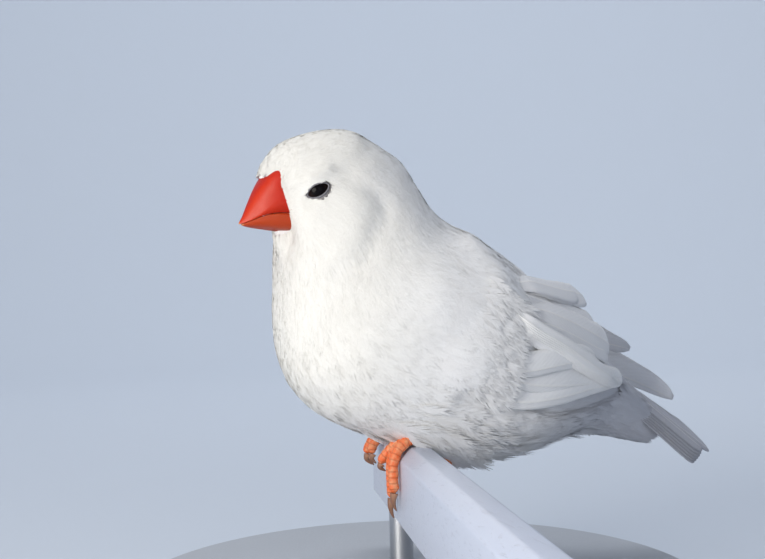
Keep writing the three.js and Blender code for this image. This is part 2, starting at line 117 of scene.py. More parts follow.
def grid_faces(rows: int, cols: int, wrap: bool = False) -> Array:
    """Quads of a rows by cols grid of vertices, counted row by row.

    Args:
        rows: Number of rings.
        cols: Number of vertices in a ring.
        wrap: Joins the last column to the first.

    Returns:
        (m, 4) vertex numbers.
    """
    i = np.arange(rows - 1)[:, None]
    j = np.arange(cols if wrap else cols - 1)[None, :]
    k = (j + 1) % cols
    return np.stack([i * cols + j, i * cols + k, (i + 1) * cols + k, (i + 1) * cols + j], -1).reshape(-1, 4)


def mesh_object(
    name: str,
    points: Array,
    quads: Array,
    materials: Sequence[Material],
    uv: dict[str, Array] | None = None,
    numbers: dict[str, Array] | None = None,
    triangles: Array | None = None,
    slots_of_faces: Array | None = None,
    normals: Array | None = None,
) -> bpy.types.Object:
    """Puts arrays into a mesh object.

    Args:
        name: Name of the object.
        points: (n, 3) places in millimetres.
        quads: (m, 4) vertex numbers, turning outwards.
        materials: Finishes, in slot order.
        uv: Named maps, (n, 2) each, given per vertex.
        numbers: Named point attributes, (n,) each.
        triangles: (k, 3) more faces, after the quads.
        slots_of_faces: Material number of each face.
        normals: (n, 3) shading normals, where they differ from the faces' own.

    Returns:
        The object.
    """
    mesh = bpy.data.meshes.new(name)
    tri = np.zeros((0, 3), int) if triangles is None else np.asarray(triangles)
    loops = np.concatenate([quads.reshape(-1), tri.reshape(-1)]).astype(np.int32)
    starts = np.concatenate([np.arange(len(quads)) * 4, len(quads) * 4 + np.arange(len(tri)) * 3])
    mesh.vertices.add(len(points))
    mesh.vertices.foreach_set("co", (np.asarray(points, float) * MM).astype(np.float32).reshape(-1))
    mesh.loops.add(len(loops))
    mesh.loops.foreach_set("vertex_index", loops)
    mesh.polygons.add(len(starts))
    mesh.polygons.foreach_set("loop_start", starts.astype(np.int32))
    mesh.polygons.foreach_set("use_smooth", np.ones(len(starts), bool))
    if slots_of_faces is not None:
        mesh.polygons.foreach_set("material_index", slots_of_faces.astype(np.int32))
    for key, values in (uv or {}).items():
        layer = mesh.uv_layers.new(name=key)
        layer.data.foreach_set("uv", np.asarray(values)[loops].astype(np.float32).reshape(-1))
    for key, values in (numbers or {}).items():
        mesh.attributes.new(key, "FLOAT", "POINT").data.foreach_set("value", values.astype(np.float32))
    mesh.update(calc_edges=True)
    mesh.validate()
    if normals is not None:
        mesh.normals_split_custom_set_from_vertices(normals.astype(np.float32))
    for material in materials:
        mesh.materials.append(material)
    piece = bpy.data.objects.new(name, mesh)
    bpy.context.scene.collection.objects.link(piece)
    LOG.info("%s: %d faces", name, len(starts))
    return piece


def make_piece(
    name: str, points: Array, quads: Array, materials: Sequence[Material], slot: str, **more: object
) -> bpy.types.Object:
    """Makes a mesh object that rides on the model's body.

    Args:
        name, points, quads, materials, more: As mesh_object takes them.
        slot: The record's material slot; not used.

    Returns:
        The object.
    """
    piece = mesh_object(name, points, quads, materials, **more)
    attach(piece, BODY)
    return piece


# Shader writing


def arithmetic(operation: str, swapped: bool = False) -> Callable[["Value", object], "Value"]:
    """The method of one sign, which adds a Math node; swapped makes it the reflected form.

    Args:
        operation: The Math node's.
        swapped: Whether it is the reflected form.

    Returns:
        The method.
    """

    def method(self: "Value", other: object) -> "Value":
        """Adds the node on two numbers or sockets."""
        a, b = (other, self) if swapped else (self, other)
        return self.graph.node("ShaderNodeMath", {"operation": operation}, {0: a, 1: b})

    return method


class Value:
    """A number socket: arithmetic on it adds Math nodes."""

    __add__ = __radd__ = arithmetic("ADD")
    __mul__ = __rmul__ = arithmetic("MULTIPLY")
    __sub__ = arithmetic("SUBTRACT")
    __rsub__ = arithmetic("SUBTRACT", swapped=True)

    def __init__(self, graph: "Graph", socket: bpy.types.NodeSocket) -> None:
        """Wraps a socket of a graph."""
        self.graph = graph
        self.socket = socket

    def __abs__(self) -> "Value":
        """Size without its sign."""
        return self.graph.node("ShaderNodeMath", {"operation": "ABSOLUTE"}, {0: self})

    def wave(self) -> "Value":
        """Sine of the value counted in turns, from 0 to 1."""
        angle = self * (2 * math.pi)
        return self.graph.node("ShaderNodeMath", {"operation": "SINE"}, {0: angle}) * 0.5 + 0.5

    def ramp(self, low: float, high: float) -> "Value":
        """Smooth rise from 0 at low to 1 at high."""
        inputs = {"Value": self, "From Min": low, "From Max": high}
        return self.graph.node("ShaderNodeMapRange", {"interpolation_type": "SMOOTHSTEP"}, inputs)


class Graph:
    """The node tree of one material."""

    def __init__(self, name: str) -> None:
        """Starts an empty tree with its output and one Principled shader.

        Args:
            name: Name of the material.
        """
        self.material = bpy.data.materials.new(name)
        self.material.use_nodes = True
        self.tree = self.material.node_tree
        self.tree.nodes.clear()
        self.output = self.tree.nodes.new("ShaderNodeOutputMaterial")
        self.shader = self.tree.nodes.new("ShaderNodeBsdfPrincipled")
        self.tree.links.new(self.shader.outputs[0], self.output.inputs["Surface"])

    def node(
        self, kind: str, settings: dict[str, object], inputs: dict[object, object], out: object = 0
    ) -> Value:
        """Adds a node, sets it up, then feeds its sockets with numbers, colours or links.

        Args:
            kind: Node type.
            settings: Attributes of the node, set first.
            inputs: Socket name or number to a value or a Value.
            out: Name or number of the output to return.

        Returns:
            That output.
        """
        node = self.tree.nodes.new(kind)
        for key, value in settings.items():
            setattr(node, key, value)
        for key, value in inputs.items():
            self.feed(node.inputs[key], value)
        return Value(self, node.outputs[out])

    def feed(self, socket: bpy.types.NodeSocket, value: object) -> None:
        """Links a Value to a socket, or sets the socket's own value.

        Args:
            socket: Input of a node.
            value: A Value, number, colour or vector.
        """
        if isinstance(value, Value):
            self.tree.links.new(value.socket, socket)
        elif isinstance(value, tuple) and socket.type == "RGBA":
            socket.default_value = (*value[:3], 1.0)
        else:
            socket.default_value = value

    def set(self, **sockets: object) -> None:
        """Feeds sockets of the shader; an underscore in a name stands for a space."""
        for key, value in sockets.items():
            self.feed(self.shader.inputs[key.replace("_", " ")], value)

    def mix(self, share: object, a: object, b: object, blend: str = "MIX") -> Value:
        """Colour a blended towards colour b."""
        settings = {"data_type": "RGBA", "blend_type": blend}
        return self.node("ShaderNodeMix", settings, {0: share, 6: a, 7: b}, 2)

    def tint(self, share: object, a: object, b: object) -> Value:
        """Colour a multiplied by colour b, by a share."""
        return self.mix(share, a, b, "MULTIPLY")

    def place(self, stretch: Point = (1.0, 1.0, 1.0)) -> Value:
        """Object coordinates in millimetres, times stretch."""
        where = self.node("ShaderNodeTexCoord", {}, {}, "Object")
        return self.node("ShaderNodeMapping", {}, {"Vector": where, "Scale": tuple(k / MM for k in stretch)})

    def noise(self, where: Value, scale: float, detail: float = 3.0, rough: float = 0.55) -> Value:
        """Noise from 0 to 1 at a number of cells for each millimetre."""
        inputs = {"Vector": where, "Scale": scale, "Detail": detail, "Roughness": rough}
        return self.node("ShaderNodeTexNoise", {}, inputs)

    def number(self, name: str) -> Value:
        """A point attribute of the piece."""
        return self.node("ShaderNodeAttribute", {"attribute_name": name}, {}, "Fac")

    def axes(self, where: Value) -> tuple[Value, Value, Value]:
        """The three numbers of a vector.

        Args:
            where: The vector.

        Returns:
            Its x, y and z.
        """
        parts = self.tree.nodes.new("ShaderNodeSeparateXYZ")
        self.feed(parts.inputs[0], where)
        return Value(self, parts.outputs[0]), Value(self, parts.outputs[1]), Value(self, parts.outputs[2])

    def map(self, name: str) -> tuple[Value, Value]:
        """The two coordinates of one of the piece's UV maps."""
        return self.axes(self.node("ShaderNodeUVMap", {"uv_map": name}, {}))[:2]

    def bump(self, height: Value, depth: float, under: Value | None = None) -> Value:
        """A Bump node whose height is in units of depth millimetres, over an earlier bump.

        Args:
            height: Height, in units of depth.
            depth: Millimetres.
            under: The earlier bump.

        Returns:
            The normal.
        """
        inputs: dict[object, object] = {"Height": height, "Distance": depth * MM, "Strength": 1.0}
        if under is not None:
            inputs["Normal"] = under
        return self.node("ShaderNodeBump", {}, inputs)


class Finish:
    """What every finish does: it feeds the Principled shader of its own material."""

    def paint(self, g: Graph) -> None:
        """Feeds the shader; each finish has its own."""
        raise NotImplementedError

    def material(self, name: str) -> Material:
        """Makes the material.

        Args:
            name: Its name.

        Returns:
            The material.
        """
        g = Graph(name)
        self.paint(g)
        return g.material


@dataclass(frozen=True)
class FeatherFinish(Finish):
    """White feather: cream on the breast, greyer behind in painted shade, a little soiled, and of uneven
    whiteness from one to the next.

    rear_shade_from and rear_shade_to are the places along the body, in millimetres, between which the
    painted shade of the rear comes in. flank is painted shade on the underside behind the legs, root is
    painted shade on a feather's covered end, shaft is the colour of a vane's shaft, and gap and
    vane_gap_shade are painted shade in the lines between barbs. On wing vanes the uneven whiteness
    also carries the painted shade of each sheet, through the tone.
    """

    white: Colour = (0.90, 0.895, 0.885)
    cream: Colour = (0.93, 0.905, 0.83)
    rear_shade: Colour = (0.74, 0.75, 0.79)
    soil: Colour = (0.80, 0.74, 0.64)
    dull_and_shade: Colour = (0.88, 0.875, 0.87)
    flank: Colour = (0.68, 0.69, 0.73)
    shaft: Colour = (0.93, 0.90, 0.84)
    root: Colour = (0.84, 0.83, 0.83)
    gap: Colour = (0.74, 0.73, 0.73)
    vane_gap_shade: Colour = (0.70, 0.69, 0.70)
    rear_shade_from: float = 16.0
    rear_shade_to: float = 46.0
    roughness: float = 0.72
    sheen: float = 0.25
    vane: bool = False

    def paint(self, g: Graph) -> None:
        """Paints it; with vane on, the barbs and the shaft of whole vanes are drawn too.

        Args:
            g: The material's graph.
        """
        where = g.place()
        _, y, z = g.axes(where)
        patches = g.noise(where, 0.09, 3.0)
        fine = g.noise(where, 0.8, 4.0)
        ahead = (0 - y - 2.0 + (patches - 0.5) * 14.0).ramp(-6.0, 14.0)
        breast = ahead * (z + (patches - 0.5) * 8.0).ramp(30.0, 44.0)
        # painted shade: greyer towards the rear, between rear_shade_from and rear_shade_to
        rear = (y + (patches - 0.5) * 12.0).ramp(self.rear_shade_from, self.rear_shade_to)
        colour = g.mix(breast * 0.75, self.white, self.cream)
        colour = g.mix(rear * 0.9, colour, self.rear_shade)
        if not self.vane:
            # painted shade: the low rear underside behind the legs greys towards flank
            shaded = (y + (patches - 0.5) * 8.0).ramp(6.0, 34.0) * (50.0 - z).ramp(0.0, 16.0)
            colour = g.tint(shaded * 0.9, colour, self.flank)
        # uneven whiteness by tone: random on soft feathers, and on wing vanes the painted shade of each sheet
        colour = g.tint((1 - g.number("tone")) * (0.9 if self.vane else 0.3), colour, self.dull_and_shade)
        # painted shade on each feather's covered end
        colour = g.tint(g.number("root") * 0.4, colour, self.root)
        stain = (fine * 0.6 + patches * 0.4).ramp(0.56, 0.74)
        colour = g.mix(stain * 0.12, colour, self.soil)
        across, along = g.map("Vane")
        if self.vane:
            side = abs(across - 0.5)
            barbs = (along * 26.0 - side * 9.0 + fine * 0.5).wave()
            fibres = (along * 90.0 - side * 32.0 + fine * 1.2).wave()
            shaft = 1 - side.ramp(0.012, 0.05)
            # painted shade in the lines between barbs and between fibres
            colour = g.tint((1 - barbs) * 0.07 + (1 - fibres) * 0.05, colour, self.vane_gap_shade)
            colour = g.mix(shaft * 0.35, colour, self.shaft)
            normal = g.bump(fibres, 0.008, g.bump(barbs + shaft * 2.0, 0.018))
        else:
            hair = (across * 3.0 + along * 0.6).wave()
            # painted shade in the lines between the hairs
            colour = g.tint((1 - hair) * 0.10, colour, self.gap)
            normal = g.bump(hair, 0.008)
        g.set(Base_Color=colour, Roughness=fine * 0.16 + (self.roughness - 0.08), Normal=normal)
        g.set(Sheen_Weight=self.sheen, Sheen_Roughness=0.5, Specular_IOR_Level=0.25)


@dataclass(frozen=True)
class SkinFinish(Finish):
    """White down over pale skin; it only shows between feathers and has their markings."""

    down: Colour = (0.90, 0.89, 0.875)
    flesh: Colour = (0.88, 0.82, 0.79)

    def paint(self, g: Graph) -> None:
        """Paints it by place.

        Args:
            g: The material's graph.
        """
        where = g.place()
        fluff = g.noise(where, 1.4, 4.0)
        colour = g.mix(fluff.ramp(0.5, 0.8) * 0.5, self.down, self.flesh)
        g.set(Base_Color=colour, Roughness=fluff * 0.2 + 0.7)
        g.set(Normal=g.bump(fluff, 0.25))


@dataclass(frozen=True)
class ScaleFinish(Finish):
    """Orange scaly skin of the feet, deeper between the scales and flaking in small spots."""

    top: Colour = (0.82, 0.155, 0.035)
    pale: Colour = (0.80, 0.32, 0.15)
    deep: Colour = (0.42, 0.10, 0.04)
    flake: Colour = (0.93, 0.66, 0.48)

    def paint(self, g: Graph) -> None:
        """Paints it: plates along the toe by its own map, mottled by place.

        Args:
            g: The material's graph.
        """
        where = g.place()
        _, along = g.map("Scale")
        mottle = g.noise(where, 1.1, 4.0)
        fine = g.noise(where, 6.0, 3.0)
        seam = (along + (mottle - 0.5) * 0.12).wave().ramp(0.0, 0.22)
        colour = g.mix(mottle.ramp(0.35, 0.7), self.top, self.pale)
        colour = g.mix((1 - seam) * 0.35, colour, self.deep)
        colour = g.mix(fine.ramp(0.6, 0.75) * 0.25, colour, self.flake)
        g.set(Base_Color=colour, Roughness=fine * 0.2 + 0.42)
        g.set(Normal=g.bump(fine * 0.4 + seam, 0.08))
        g.set(Subsurface_Weight=0.12, Subsurface_Scale=0.0006, Subsurface_Radius=(1.0, 0.35, 0.2))


@dataclass(frozen=True)
class HornFinish(Finish):
    """Horn of the bill or of a claw: colours along it and on its ridge, worn spots and growth lines.

    growth is the number of growth lines along it.
    """

    base: Colour
    middle: Colour
    tip: Colour
    ridge: Colour
    worn: Colour
    roughness: float = 0.3
    growth: float = 7.0

    def paint(self, g: Graph) -> None:
        """Paints it by the Horn map: u runs from edge to ridge to edge, v from root to tip.

        Args:
            g: The material's graph.
        """
        where = g.place()
        across, along = g.map("Horn")
        cloud = g.noise(where, 0.45, 3.0)
        streak = g.noise(g.place((1.6, 0.35, 1.6)), 1.3, 4.0)
        fine = g.noise(where, 5.0, 4.0)
        up = 1 - abs(across - 0.5) * 2
        bend = along + (cloud - 0.5) * 0.25
        colour = g.mix(bend.ramp(0.05, 0.65), self.base, self.middle)
        colour = g.mix((up + (streak - 0.5) * 0.3).ramp(0.45, 0.95) * 0.8, colour, self.ridge)
        colour = g.mix(streak.ramp(0.55, 0.8) * 0.3, colour, self.middle)
        colour = g.mix((along + (fine - 0.5) * 0.04).ramp(0.86, 0.985), colour, self.tip)
        scuffs = fine.ramp(0.62, 0.7) * streak.ramp(0.5, 0.62)
        colour = g.mix(scuffs * 0.5, colour, self.worn)
        lines = (along * self.growth + (cloud - 0.5) * 0.8).wave()
        g.set(Base_Color=colour, Roughness=fine * 0.18 + streak * 0.14 + (self.roughness - 0.14))
        g.set(Normal=g.bump(lines * 0.3 + fine * 0.5 + scuffs, 0.03))
        g.set(Subsurface_Weight=0.15, Subsurface_Scale=0.0008, Subsurface_Radius=(1.0, 0.3, 0.15))
        g.set(Specular_IOR_Level=0.4)


@dataclass(frozen=True)
class EyeFinish(Finish):
    """Wet near-black eye with a faint brown iris round the pupil."""

    pupil: Colour = (0.004, 0.003, 0.004)
    iris: Colour = (0.022, 0.011, 0.008)

    def paint(self, g: Graph) -> None:
        """Paints it; the attribute iris is 1 on the ring round the pupil.

        Args:
            g: The material's graph.
        """
        ring = g.number("iris")
        fibre = g.noise(g.place(), 6.0, 3.0)
        g.set(Base_Color=g.mix(ring * fibre.ramp(0.3, 0.7), self.pupil, self.iris))
        g.set(Roughness=fibre * 0.06 + 0.13)
        g.set(Specular_IOR_Level=0.07)


@dataclass(frozen=True)
class LidFinish(Finish):
    """Bare grey rim of the eyelids, pinker away from the edge."""

    rim: Colour = (0.23, 0.22, 0.235)
    skin: Colour = (0.60, 0.55, 0.54)

    def paint(self, g: Graph) -> None:
        """Paints it; the attribute rim is 1 at the edge of the opening.

        Args:
            g: The material's graph.
        """
        fine = g.noise(g.place(), 7.0, 4.0)
        rim = (g.number("rim") + (fine - 0.5) * 0.3).ramp(0.25, 0.85)
        g.set(Base_Color=g.mix(rim, self.skin, self.rim), Roughness=fine * 0.2 + 0.5)
        g.set(Normal=g.bump(fine, 0.06), Specular_IOR_Level=0.25)


@dataclass(frozen=True)
class PlasticFinish(Finish):
    """White moulded plastic that has been scuffed and a little soiled."""

    colour: Colour = (0.56, 0.60, 0.70)
    dirt: Colour = (0.50, 0.46, 0.45)
    cloud: Colour = (0.90, 0.89, 0.93)
    roughness: float = 0.38

    def paint(self, g: Graph) -> None:
        """Paints it: long scratches, flow clouds and specks by place.

        Args:
            g: The material's graph.
        """
        where = g.place()
        cloud = g.noise(where, 0.05, 3.0)
        fine = g.noise(where, 1.6, 5.0)
        drag = g.noise(g.place((0.12, 2.4, 2.4)), 1.0, 4.0)
        specks = g.noise(where, 2.4, 2.0).ramp(0.70, 0.74)
        scratch = drag.ramp(0.60, 0.66)
        colour = g.tint(cloud * 0.3, self.colour, self.cloud)
        colour = g.mix(scratch * 0.12, colour, self.dirt)
        colour = g.mix(specks * 0.45, colour, self.dirt)
        g.set(Base_Color=colour, Roughness=fine * 0.18 + scratch * 0.2 + (self.roughness - 0.09))
        g.set(Normal=g.bump(fine * 0.6 - scratch - specks * 0.5, 0.035))
        g.set(Subsurface_Weight=0.15, Subsurface_Scale=0.002, Subsurface_Radius=(1.0, 0.9, 0.9))


@dataclass(frozen=True)
class StandFinish(Finish):
    """Powder-coated or brushed metal of the stand, with a little dust.

    grain stretches the pattern along the axes, and orange_peel is the bumps' depth in millimetres.
    """

    colour: Colour = (0.43, 0.45, 0.48)
    metallic: float = 0.0
    roughness: float = 0.5
    grain: Point = (1.0, 1.0, 1.0)
    orange_peel: float = 0.05
    cloud: Colour = (0.86, 0.87, 0.90)
    dust: Colour = (0.72, 0.72, 0.71)

    def paint(self, g: Graph) -> None:
        """Paints it by place.

        Args:
            g: The material's graph.
        """
        where = g.place(self.grain)
        peel = g.noise(where, 1.9, 3.0)
        cloud = g.noise(where, 0.06, 2.0)
        dust = g.noise(g.place(), 3.1, 2.0).ramp(0.68, 0.74)
        colour = g.tint(cloud * 0.35, self.colour, self.cloud)
        colour = g.mix(dust * 0.3, colour, self.dust)
        g.set(Base_Color=colour, Metallic=self.metallic, Normal=g.bump(peel + dust, self.orange_peel))
        g.set(Roughness=peel * 0.2 + cloud * 0.1 + (self.roughness - 0.12))


@dataclass(frozen=True)
class StageFinish(Finish):
    """Plain pale paper sweep under and behind the model."""

    colour: Colour = (0.60, 0.65, 0.72)
    shade: Colour = (0.9, 0.9, 0.9)

    def paint(self, g: Graph) -> None:
        """Paints it by place.

        Args:
            g: The material's graph.
        """
        fibre = g.noise(g.place(), 0.7, 4.0)
        g.set(Base_Color=g.tint(fibre * 0.12, self.colour, self.shade), Roughness=fibre * 0.1 + 0.8)


# The body's form


@dataclass(frozen=True)
class Station:
    """One ring of the body: its upper and lower point in the mid-plane (y, z), and its section.

    half is the half width, lean moves the widest line up, full is the power that fills the section out
    as it falls, back sets the sides back along y, and coat is the depth from the feathers' outline
    down to the skin.
    """

    top: tuple[float, float]
    under: tuple[float, float]
    half: float
    lean: float
    full: float
    back: float
    coat: float


STATIONS = tuple(Station(*row) for row in (
    ((-27.1, 75.4), (-24.6, 65.5), 4.40, 0.06, 0.60, 2.05, 0.40),
    ((-26.1, 77.7), (-24.3, 64.0), 5.5, 0.08, 0.72, 1.75, 0.45),
    ((-23.0, 80.9), (-23.7, 62.2), 6.9, 0.08, 0.78, 0.8, 0.55),
    ((-17.2, 83.0), (-23.5, 59.2), 8.5, 0.08, 0.76, 0.1, 0.80),
    ((-11.4, 83.3), (-23.7, 55.4), 9.9, 0.07, 0.75, 0.0, 1.00),
    ((-6.4, 81.0), (-23.8, 51.4), 11.5, 0.03, 0.78, 0.0, 1.20),
    ((-2.0, 78.4), (-23.4, 47.2), 13.1, -0.05, 0.82, 0.0, 1.40),
    ((0.9, 74.3), (-22.5, 43.2), 15.0, -0.05, 0.88, 0.0, 1.60),
    ((4.2, 69.5), (-20.5, 39.2), 17.0, -0.02, 0.92, 0.0, 1.80),
    ((10.4, 65.6), (-16.8, 35.4), 18.4, 0.04, 0.94, 0.0, 2.00),
    ((17.0, 61.4), (-10.6, 32.2), 19.1, 0.06, 0.94, 0.0, 2.10),
    ((24.0, 56.4), (-3.0, 29.5), 19.0, 0.05, 0.94, 0.0, 2.10),
    ((29.4, 51.0), (4.8, 27.2), 17.9, 0.03, 0.94, 0.0, 2.00),
    ((33.6, 46.2), (12.4, 26.2), 15.4, 0.00, 0.94, 0.0, 1.90),
    ((37.6, 42.2), (20.2, 27.2), 12.0, 0.00, 0.95, 0.0, 1.60),
    ((41.8, 38.6), (28.2, 29.2), 8.0, 0.00, 0.95, 0.0, 1.30),
    ((46.0, 35.0), (36.6, 28.6), 4.9, 0.00, 0.95, 0.0, 1.00),
    ((49.6, 31.0), (45.4, 26.6), 2.6, 0.00, 0.95, 0.0, 0.70),
))


@dataclass(frozen=True)
class Fold:
    """A crease or a ridge of the plumage that runs along a line on both sides of the body (y, z).

    height is in millimetres and negative for a crease, width is how far it fades, and side is the
    least distance from the mid-plane where it shows. A mound has a line of one point or more.
    """

    line: tuple[tuple[float, float], ...]
    height: float
    width: float
    side: float = 1.0


FOLDS = (
    # rear edge of the cheek, with the full cheek in front of it
    Fold(
        ((-14.7, 74.3), (-12.6, 73.4), (-10.2, 71.7), (-8.9, 69.6), (-9.4, 67.6), (-10.9, 65.6),
         (-12.4, 62.9), (-14.2, 60.4), (-17.6, 59.6)), -0.36, 1.7, 4.0),
    Fold(((-14.6, 69.5), (-14.4, 65.0), (-16.6, 62.4)), 0.4, 3.4, 4.0),
    # from the hind crown down to the rear corner of the eye
    Fold(((-9.6, 80.4), (-12.4, 77.4), (-14.9, 75.9), (-17.2, 74.7)), -0.18, 1.5, 4.0),
    Fold(((-18.4, 75.8), (-20.8, 74.6)), 0.45, 1.1, 4.0),
    # hollow of the lores, between the bill and the eye
    Fold(((-22.6, 72.2), (-21.4, 71.0)), -0.35, 1.2, 3.0),
    # the breast feathers that stand over the front of the wing
    Fold(((0.0, 55.0), (6.0, 54.0), (9.5, 47.0), (5.0, 44.0)), 1.0, 5.5, 8.0),
    Fold(((8.0, 63.0), (10.4, 58.6), (11.0, 54.0)), 0.9, 3.0, 6.0),
    # creases of the flank
    Fold(((3.0, 38.0), (10.0, 36.2), (18.0, 36.4)), -0.5, 1.6, 6.0),
    # under the chin
    Fold(((-23.4, 66.0), (-21.6, 64.0), (-19.8, 62.8)), -0.2, 1.2, 2.5),
)

# the head's turn: its angle, the y of its axis, and the stations where it is full and where it ends
TURN_DEG, TURN_PIVOT, TURN_FULL, TURN_NONE = 7.0, -4.0, 4.0, 8.0
BACK_CURVE = 0.3


def turned_head(points: Array, part: Array | float = 1.0) -> Array:
    """Points given before the head's turn to the left, carried by a part of it, or all of it.

    Args:
        points: (..., 3) places.
        part: Share of the turn, for all or for each.

    Returns:
        The places after it.
    """
    angle = math.radians(TURN_DEG) * np.asarray(part)
    x, y = points[..., 0], points[..., 1] - TURN_PIVOT
    return np.stack([
        x * np.cos(angle) - y * np.sin(angle),
        x * np.sin(angle) + y * np.cos(angle) + TURN_PIVOT,
        points[..., 2],
    ], -1)


@dataclass
class BodyForm:
    """The surface that the skin and every feather of the coat are laid on.

    A point at station s and angle phi round the ring (0 on top, a quarter turn on the left) is
    x = half |sin phi|^full (1 + lean cos phi), and (y, z) runs from the upper to the lower point by
    cos phi, set back by back (1 - exp(-(sin phi / BACK_CURVE)^2)). Folds move it in or out along its
    normal, and the head's turn is laid on at the end. The grid has steps rows between the stations
    low and high, and round columns.
    """

    steps: int = 700
    round: int = 720
    low: float = 0.0
    high: float = 17.0
    s: Array = field(init=False)
    points: Array = field(init=False)
    normals: Array = field(init=False)

    def __post_init__(self) -> None:
        """Works out the grid that later look-ups read."""
        self.s = np.linspace(self.low, self.high, self.steps)
        phi = turn_angles(self.round)
        ss, pp = (a.reshape(-1) for a in np.meshgrid(self.s, phi, indexing="ij"))
        plain = self.outline(ss, pp).reshape(self.steps, self.round, 3)
        normal = self._normals(plain)
        lifted = plain + normal * self._relief(plain)[..., None]
        self.points = self._turned(lifted, ss.reshape(self.steps, self.round))
        self.normals = self._normals(self.points)
        self.coat = smooth_rows(np.array([[st.coat] for st in STATIONS]), self.s)[:, 0]
        ds = np.gradient(self.points, self.s, axis=0)
        dp = (np.roll(self.points, -1, 1) - np.roll(self.points, 1, 1)) / (4 * math.pi / self.round)
        self.metric = np.stack([np.linalg.norm(ds, axis=-1), np.linalg.norm(dp, axis=-1)], -1)

    def outline(self, s: Array, phi: Array) -> Array:
        """Points of the outline before folds and turn.

        Args:
            s: Stations.
            phi: Angles from the top.

        Returns:
            (n, 3) points.
        """
        rows = np.array([[*st.top, *st.under, st.half, st.lean, st.full, st.back] for st in STATIONS])
        ty, tz, uy, uz, half, lean, full, back = smooth_rows(rows, s).T
        c, sn = np.cos(phi), np.sin(phi)
        x = half * np.sign(sn) * np.abs(sn) ** full * (1 + lean * c)
        y = (ty + uy) / 2 + (ty - uy) / 2 * c + back * (1 - np.exp(-((sn / BACK_CURVE) ** 2)))
        z = (tz + uz) / 2 + (tz - uz) / 2 * c
        return np.stack([x, y, z], -1)

    def _normals(self, grid: Array) -> Array:
        """Outward unit normals of a closed grid, from differences along it and round it.

        Args:
            grid: Its points.

        Returns:
            A normal for each.
        """
        along = np.gradient(grid, axis=0)
        around = np.roll(grid, -1, 1) - np.roll(grid, 1, 1)
        return unit(np.cross(around, along))

    def _relief(self, grid: Array) -> Array:
        """Height of the folds, each a bell of its distance from its line in the side view.

        Args:
            grid: Points of the plain outline.

        Returns:
            Millimetres for each.
        """
        flat = grid.reshape(-1, 3)
        total = np.zeros(len(flat))
        for fold in FOLDS:
            away = line_distance(flat[:, 1:], fold.line)
            fade = smoothstep(fold.side * 0.5, fold.side + 1.0, np.abs(flat[:, 0]))
            total += fold.height * np.exp(-((away / fold.width) ** 2)) * fade
        return total.reshape(grid.shape[:2])

    def _turned(self, grid: Array, s: Array) -> Array:
        """The head's turn to the left, fading out down the neck."""
        return turned_head(grid, smoothstep(0.0, 1.0, (TURN_NONE - s) / (TURN_NONE - TURN_FULL)))

    def look(self, s: Array, phi: Array, grid: Array) -> Array:
        """Value of a grid at stations s and angles phi, between its four nearest points.

        Args:
            s: Stations.
            phi: Angles from the top.
            grid: Numbers or vectors on the form's grid.

        Returns:
            (n,) or (n, k) values.
        """
        i = np.clip((s - self.low) / (self.high - self.low) * (self.steps - 1), 0, self.steps - 1.001)
        j = (phi / (2 * math.pi) * self.round) % self.round
        i0, j0 = np.floor(i).astype(int), np.floor(j).astype(int) % self.round
        fi, fj = i - np.floor(i), j - np.floor(j)
        j1 = (j0 + 1) % self.round
        if grid.ndim == 3:
            fi, fj = fi[..., None], fj[..., None]
        here = grid[i0, j0] * (1 - fj) + grid[i0, j1] * fj
        after = grid[i0 + 1, j0] * (1 - fj) + grid[i0 + 1, j1] * fj
        return here * (1 - fi) + after * fi

    def depth(self, s: Array) -> Array:
        """Coat depth at stations s."""
        return np.interp(s, self.s, self.coat)

    def at(self, s: Array, phi: Array, height: Array) -> Array:
        """Points at a height above the skin; past the last station they go straight on.

        Args:
            s: Stations.
            phi: Angles from the top.
            height: Millimetres.

        Returns:
            (n, 3) points.
        """
        inside = np.clip(s, self.low, self.high)
        beyond = s - inside
        point = self.look(inside, phi, self.points)
        normal = unit(self.look(inside, phi, self.normals))
        along = unit(self.look(np.minimum(inside + 0.05, self.high), phi, self.points)
                     - self.look(np.maximum(inside - 0.05, self.low), phi, self.points))
        reach = beyond * self.look(inside, phi, self.metric)[..., 0]
        return point + normal * (height - self.depth(inside))[..., None] + along * reach[..., None]

    def outward(self, s: Array, phi: Array) -> Array:
        """Outward normals at stations and angles."""
        return unit(self.look(np.clip(s, self.low, self.high), phi, self.normals))

    def nearest(self, points: Array) -> Array:
        """Place on the skin's unwrap of the skin nearest to each point.

        Args:
            points: (n, 3) points.

        Returns:
            (n, 2) places on the map.
        """
        rough = self.points[::8, ::8].reshape(-1, 3)
        s = np.repeat(self.s[::8], self.points[::8, ::8].shape[1])
        phi = np.tile(turn_angles(self.round)[::8], self.points[::8].shape[0])
        found = np.array([np.argmin(((rough - point) ** 2).sum(1)) for point in points])
        return self.unwrap(s[found], phi[found])

    def unwrap(self, s: Array, phi: Array) -> Array:
        """The skin's own unwrap: opened along the belly, with stations running up.

        Args:
            s: Stations.
            phi: Angles from the top.

        Returns:
            (n, 2) places on the map.
        """
        u = ((phi / (2 * math.pi)) + 0.5) % 1.0
        v = (s - self.low) / (self.high - self.low)
        return np.stack([0.01 + 0.98 * u, 0.01 + 0.98 * np.clip(v, 0, 1)], -1)


# The coat


@dataclass(frozen=True)
class Barbs:
    """One kind of small feather: how its barbs leave the shaft.

    The pairs of barbs start between the shares first and last of the shaft. Each runs out to the rim,
    sweep further on towards the tip, as a strip of a number of spans that narrows to a soft point.
    wide is a strip's half width as a share of the feather's width, stray its unevenness, dome how far
    the shading rounds the feather, and uneven how much it differs from barb to barb.
    """

    pairs: int = 5
    spans: int = 3
    first: float = 0.06
    last: float = 0.66
    sweep: float = 0.36
    wide: float = 0.085
    stray: float = 0.10
    dome: float = 0.5
    uneven: float = 0.10

    @property
    def strips(self) -> int:
        """Number of strips in one feather."""
        return 2 * self.pairs + 1


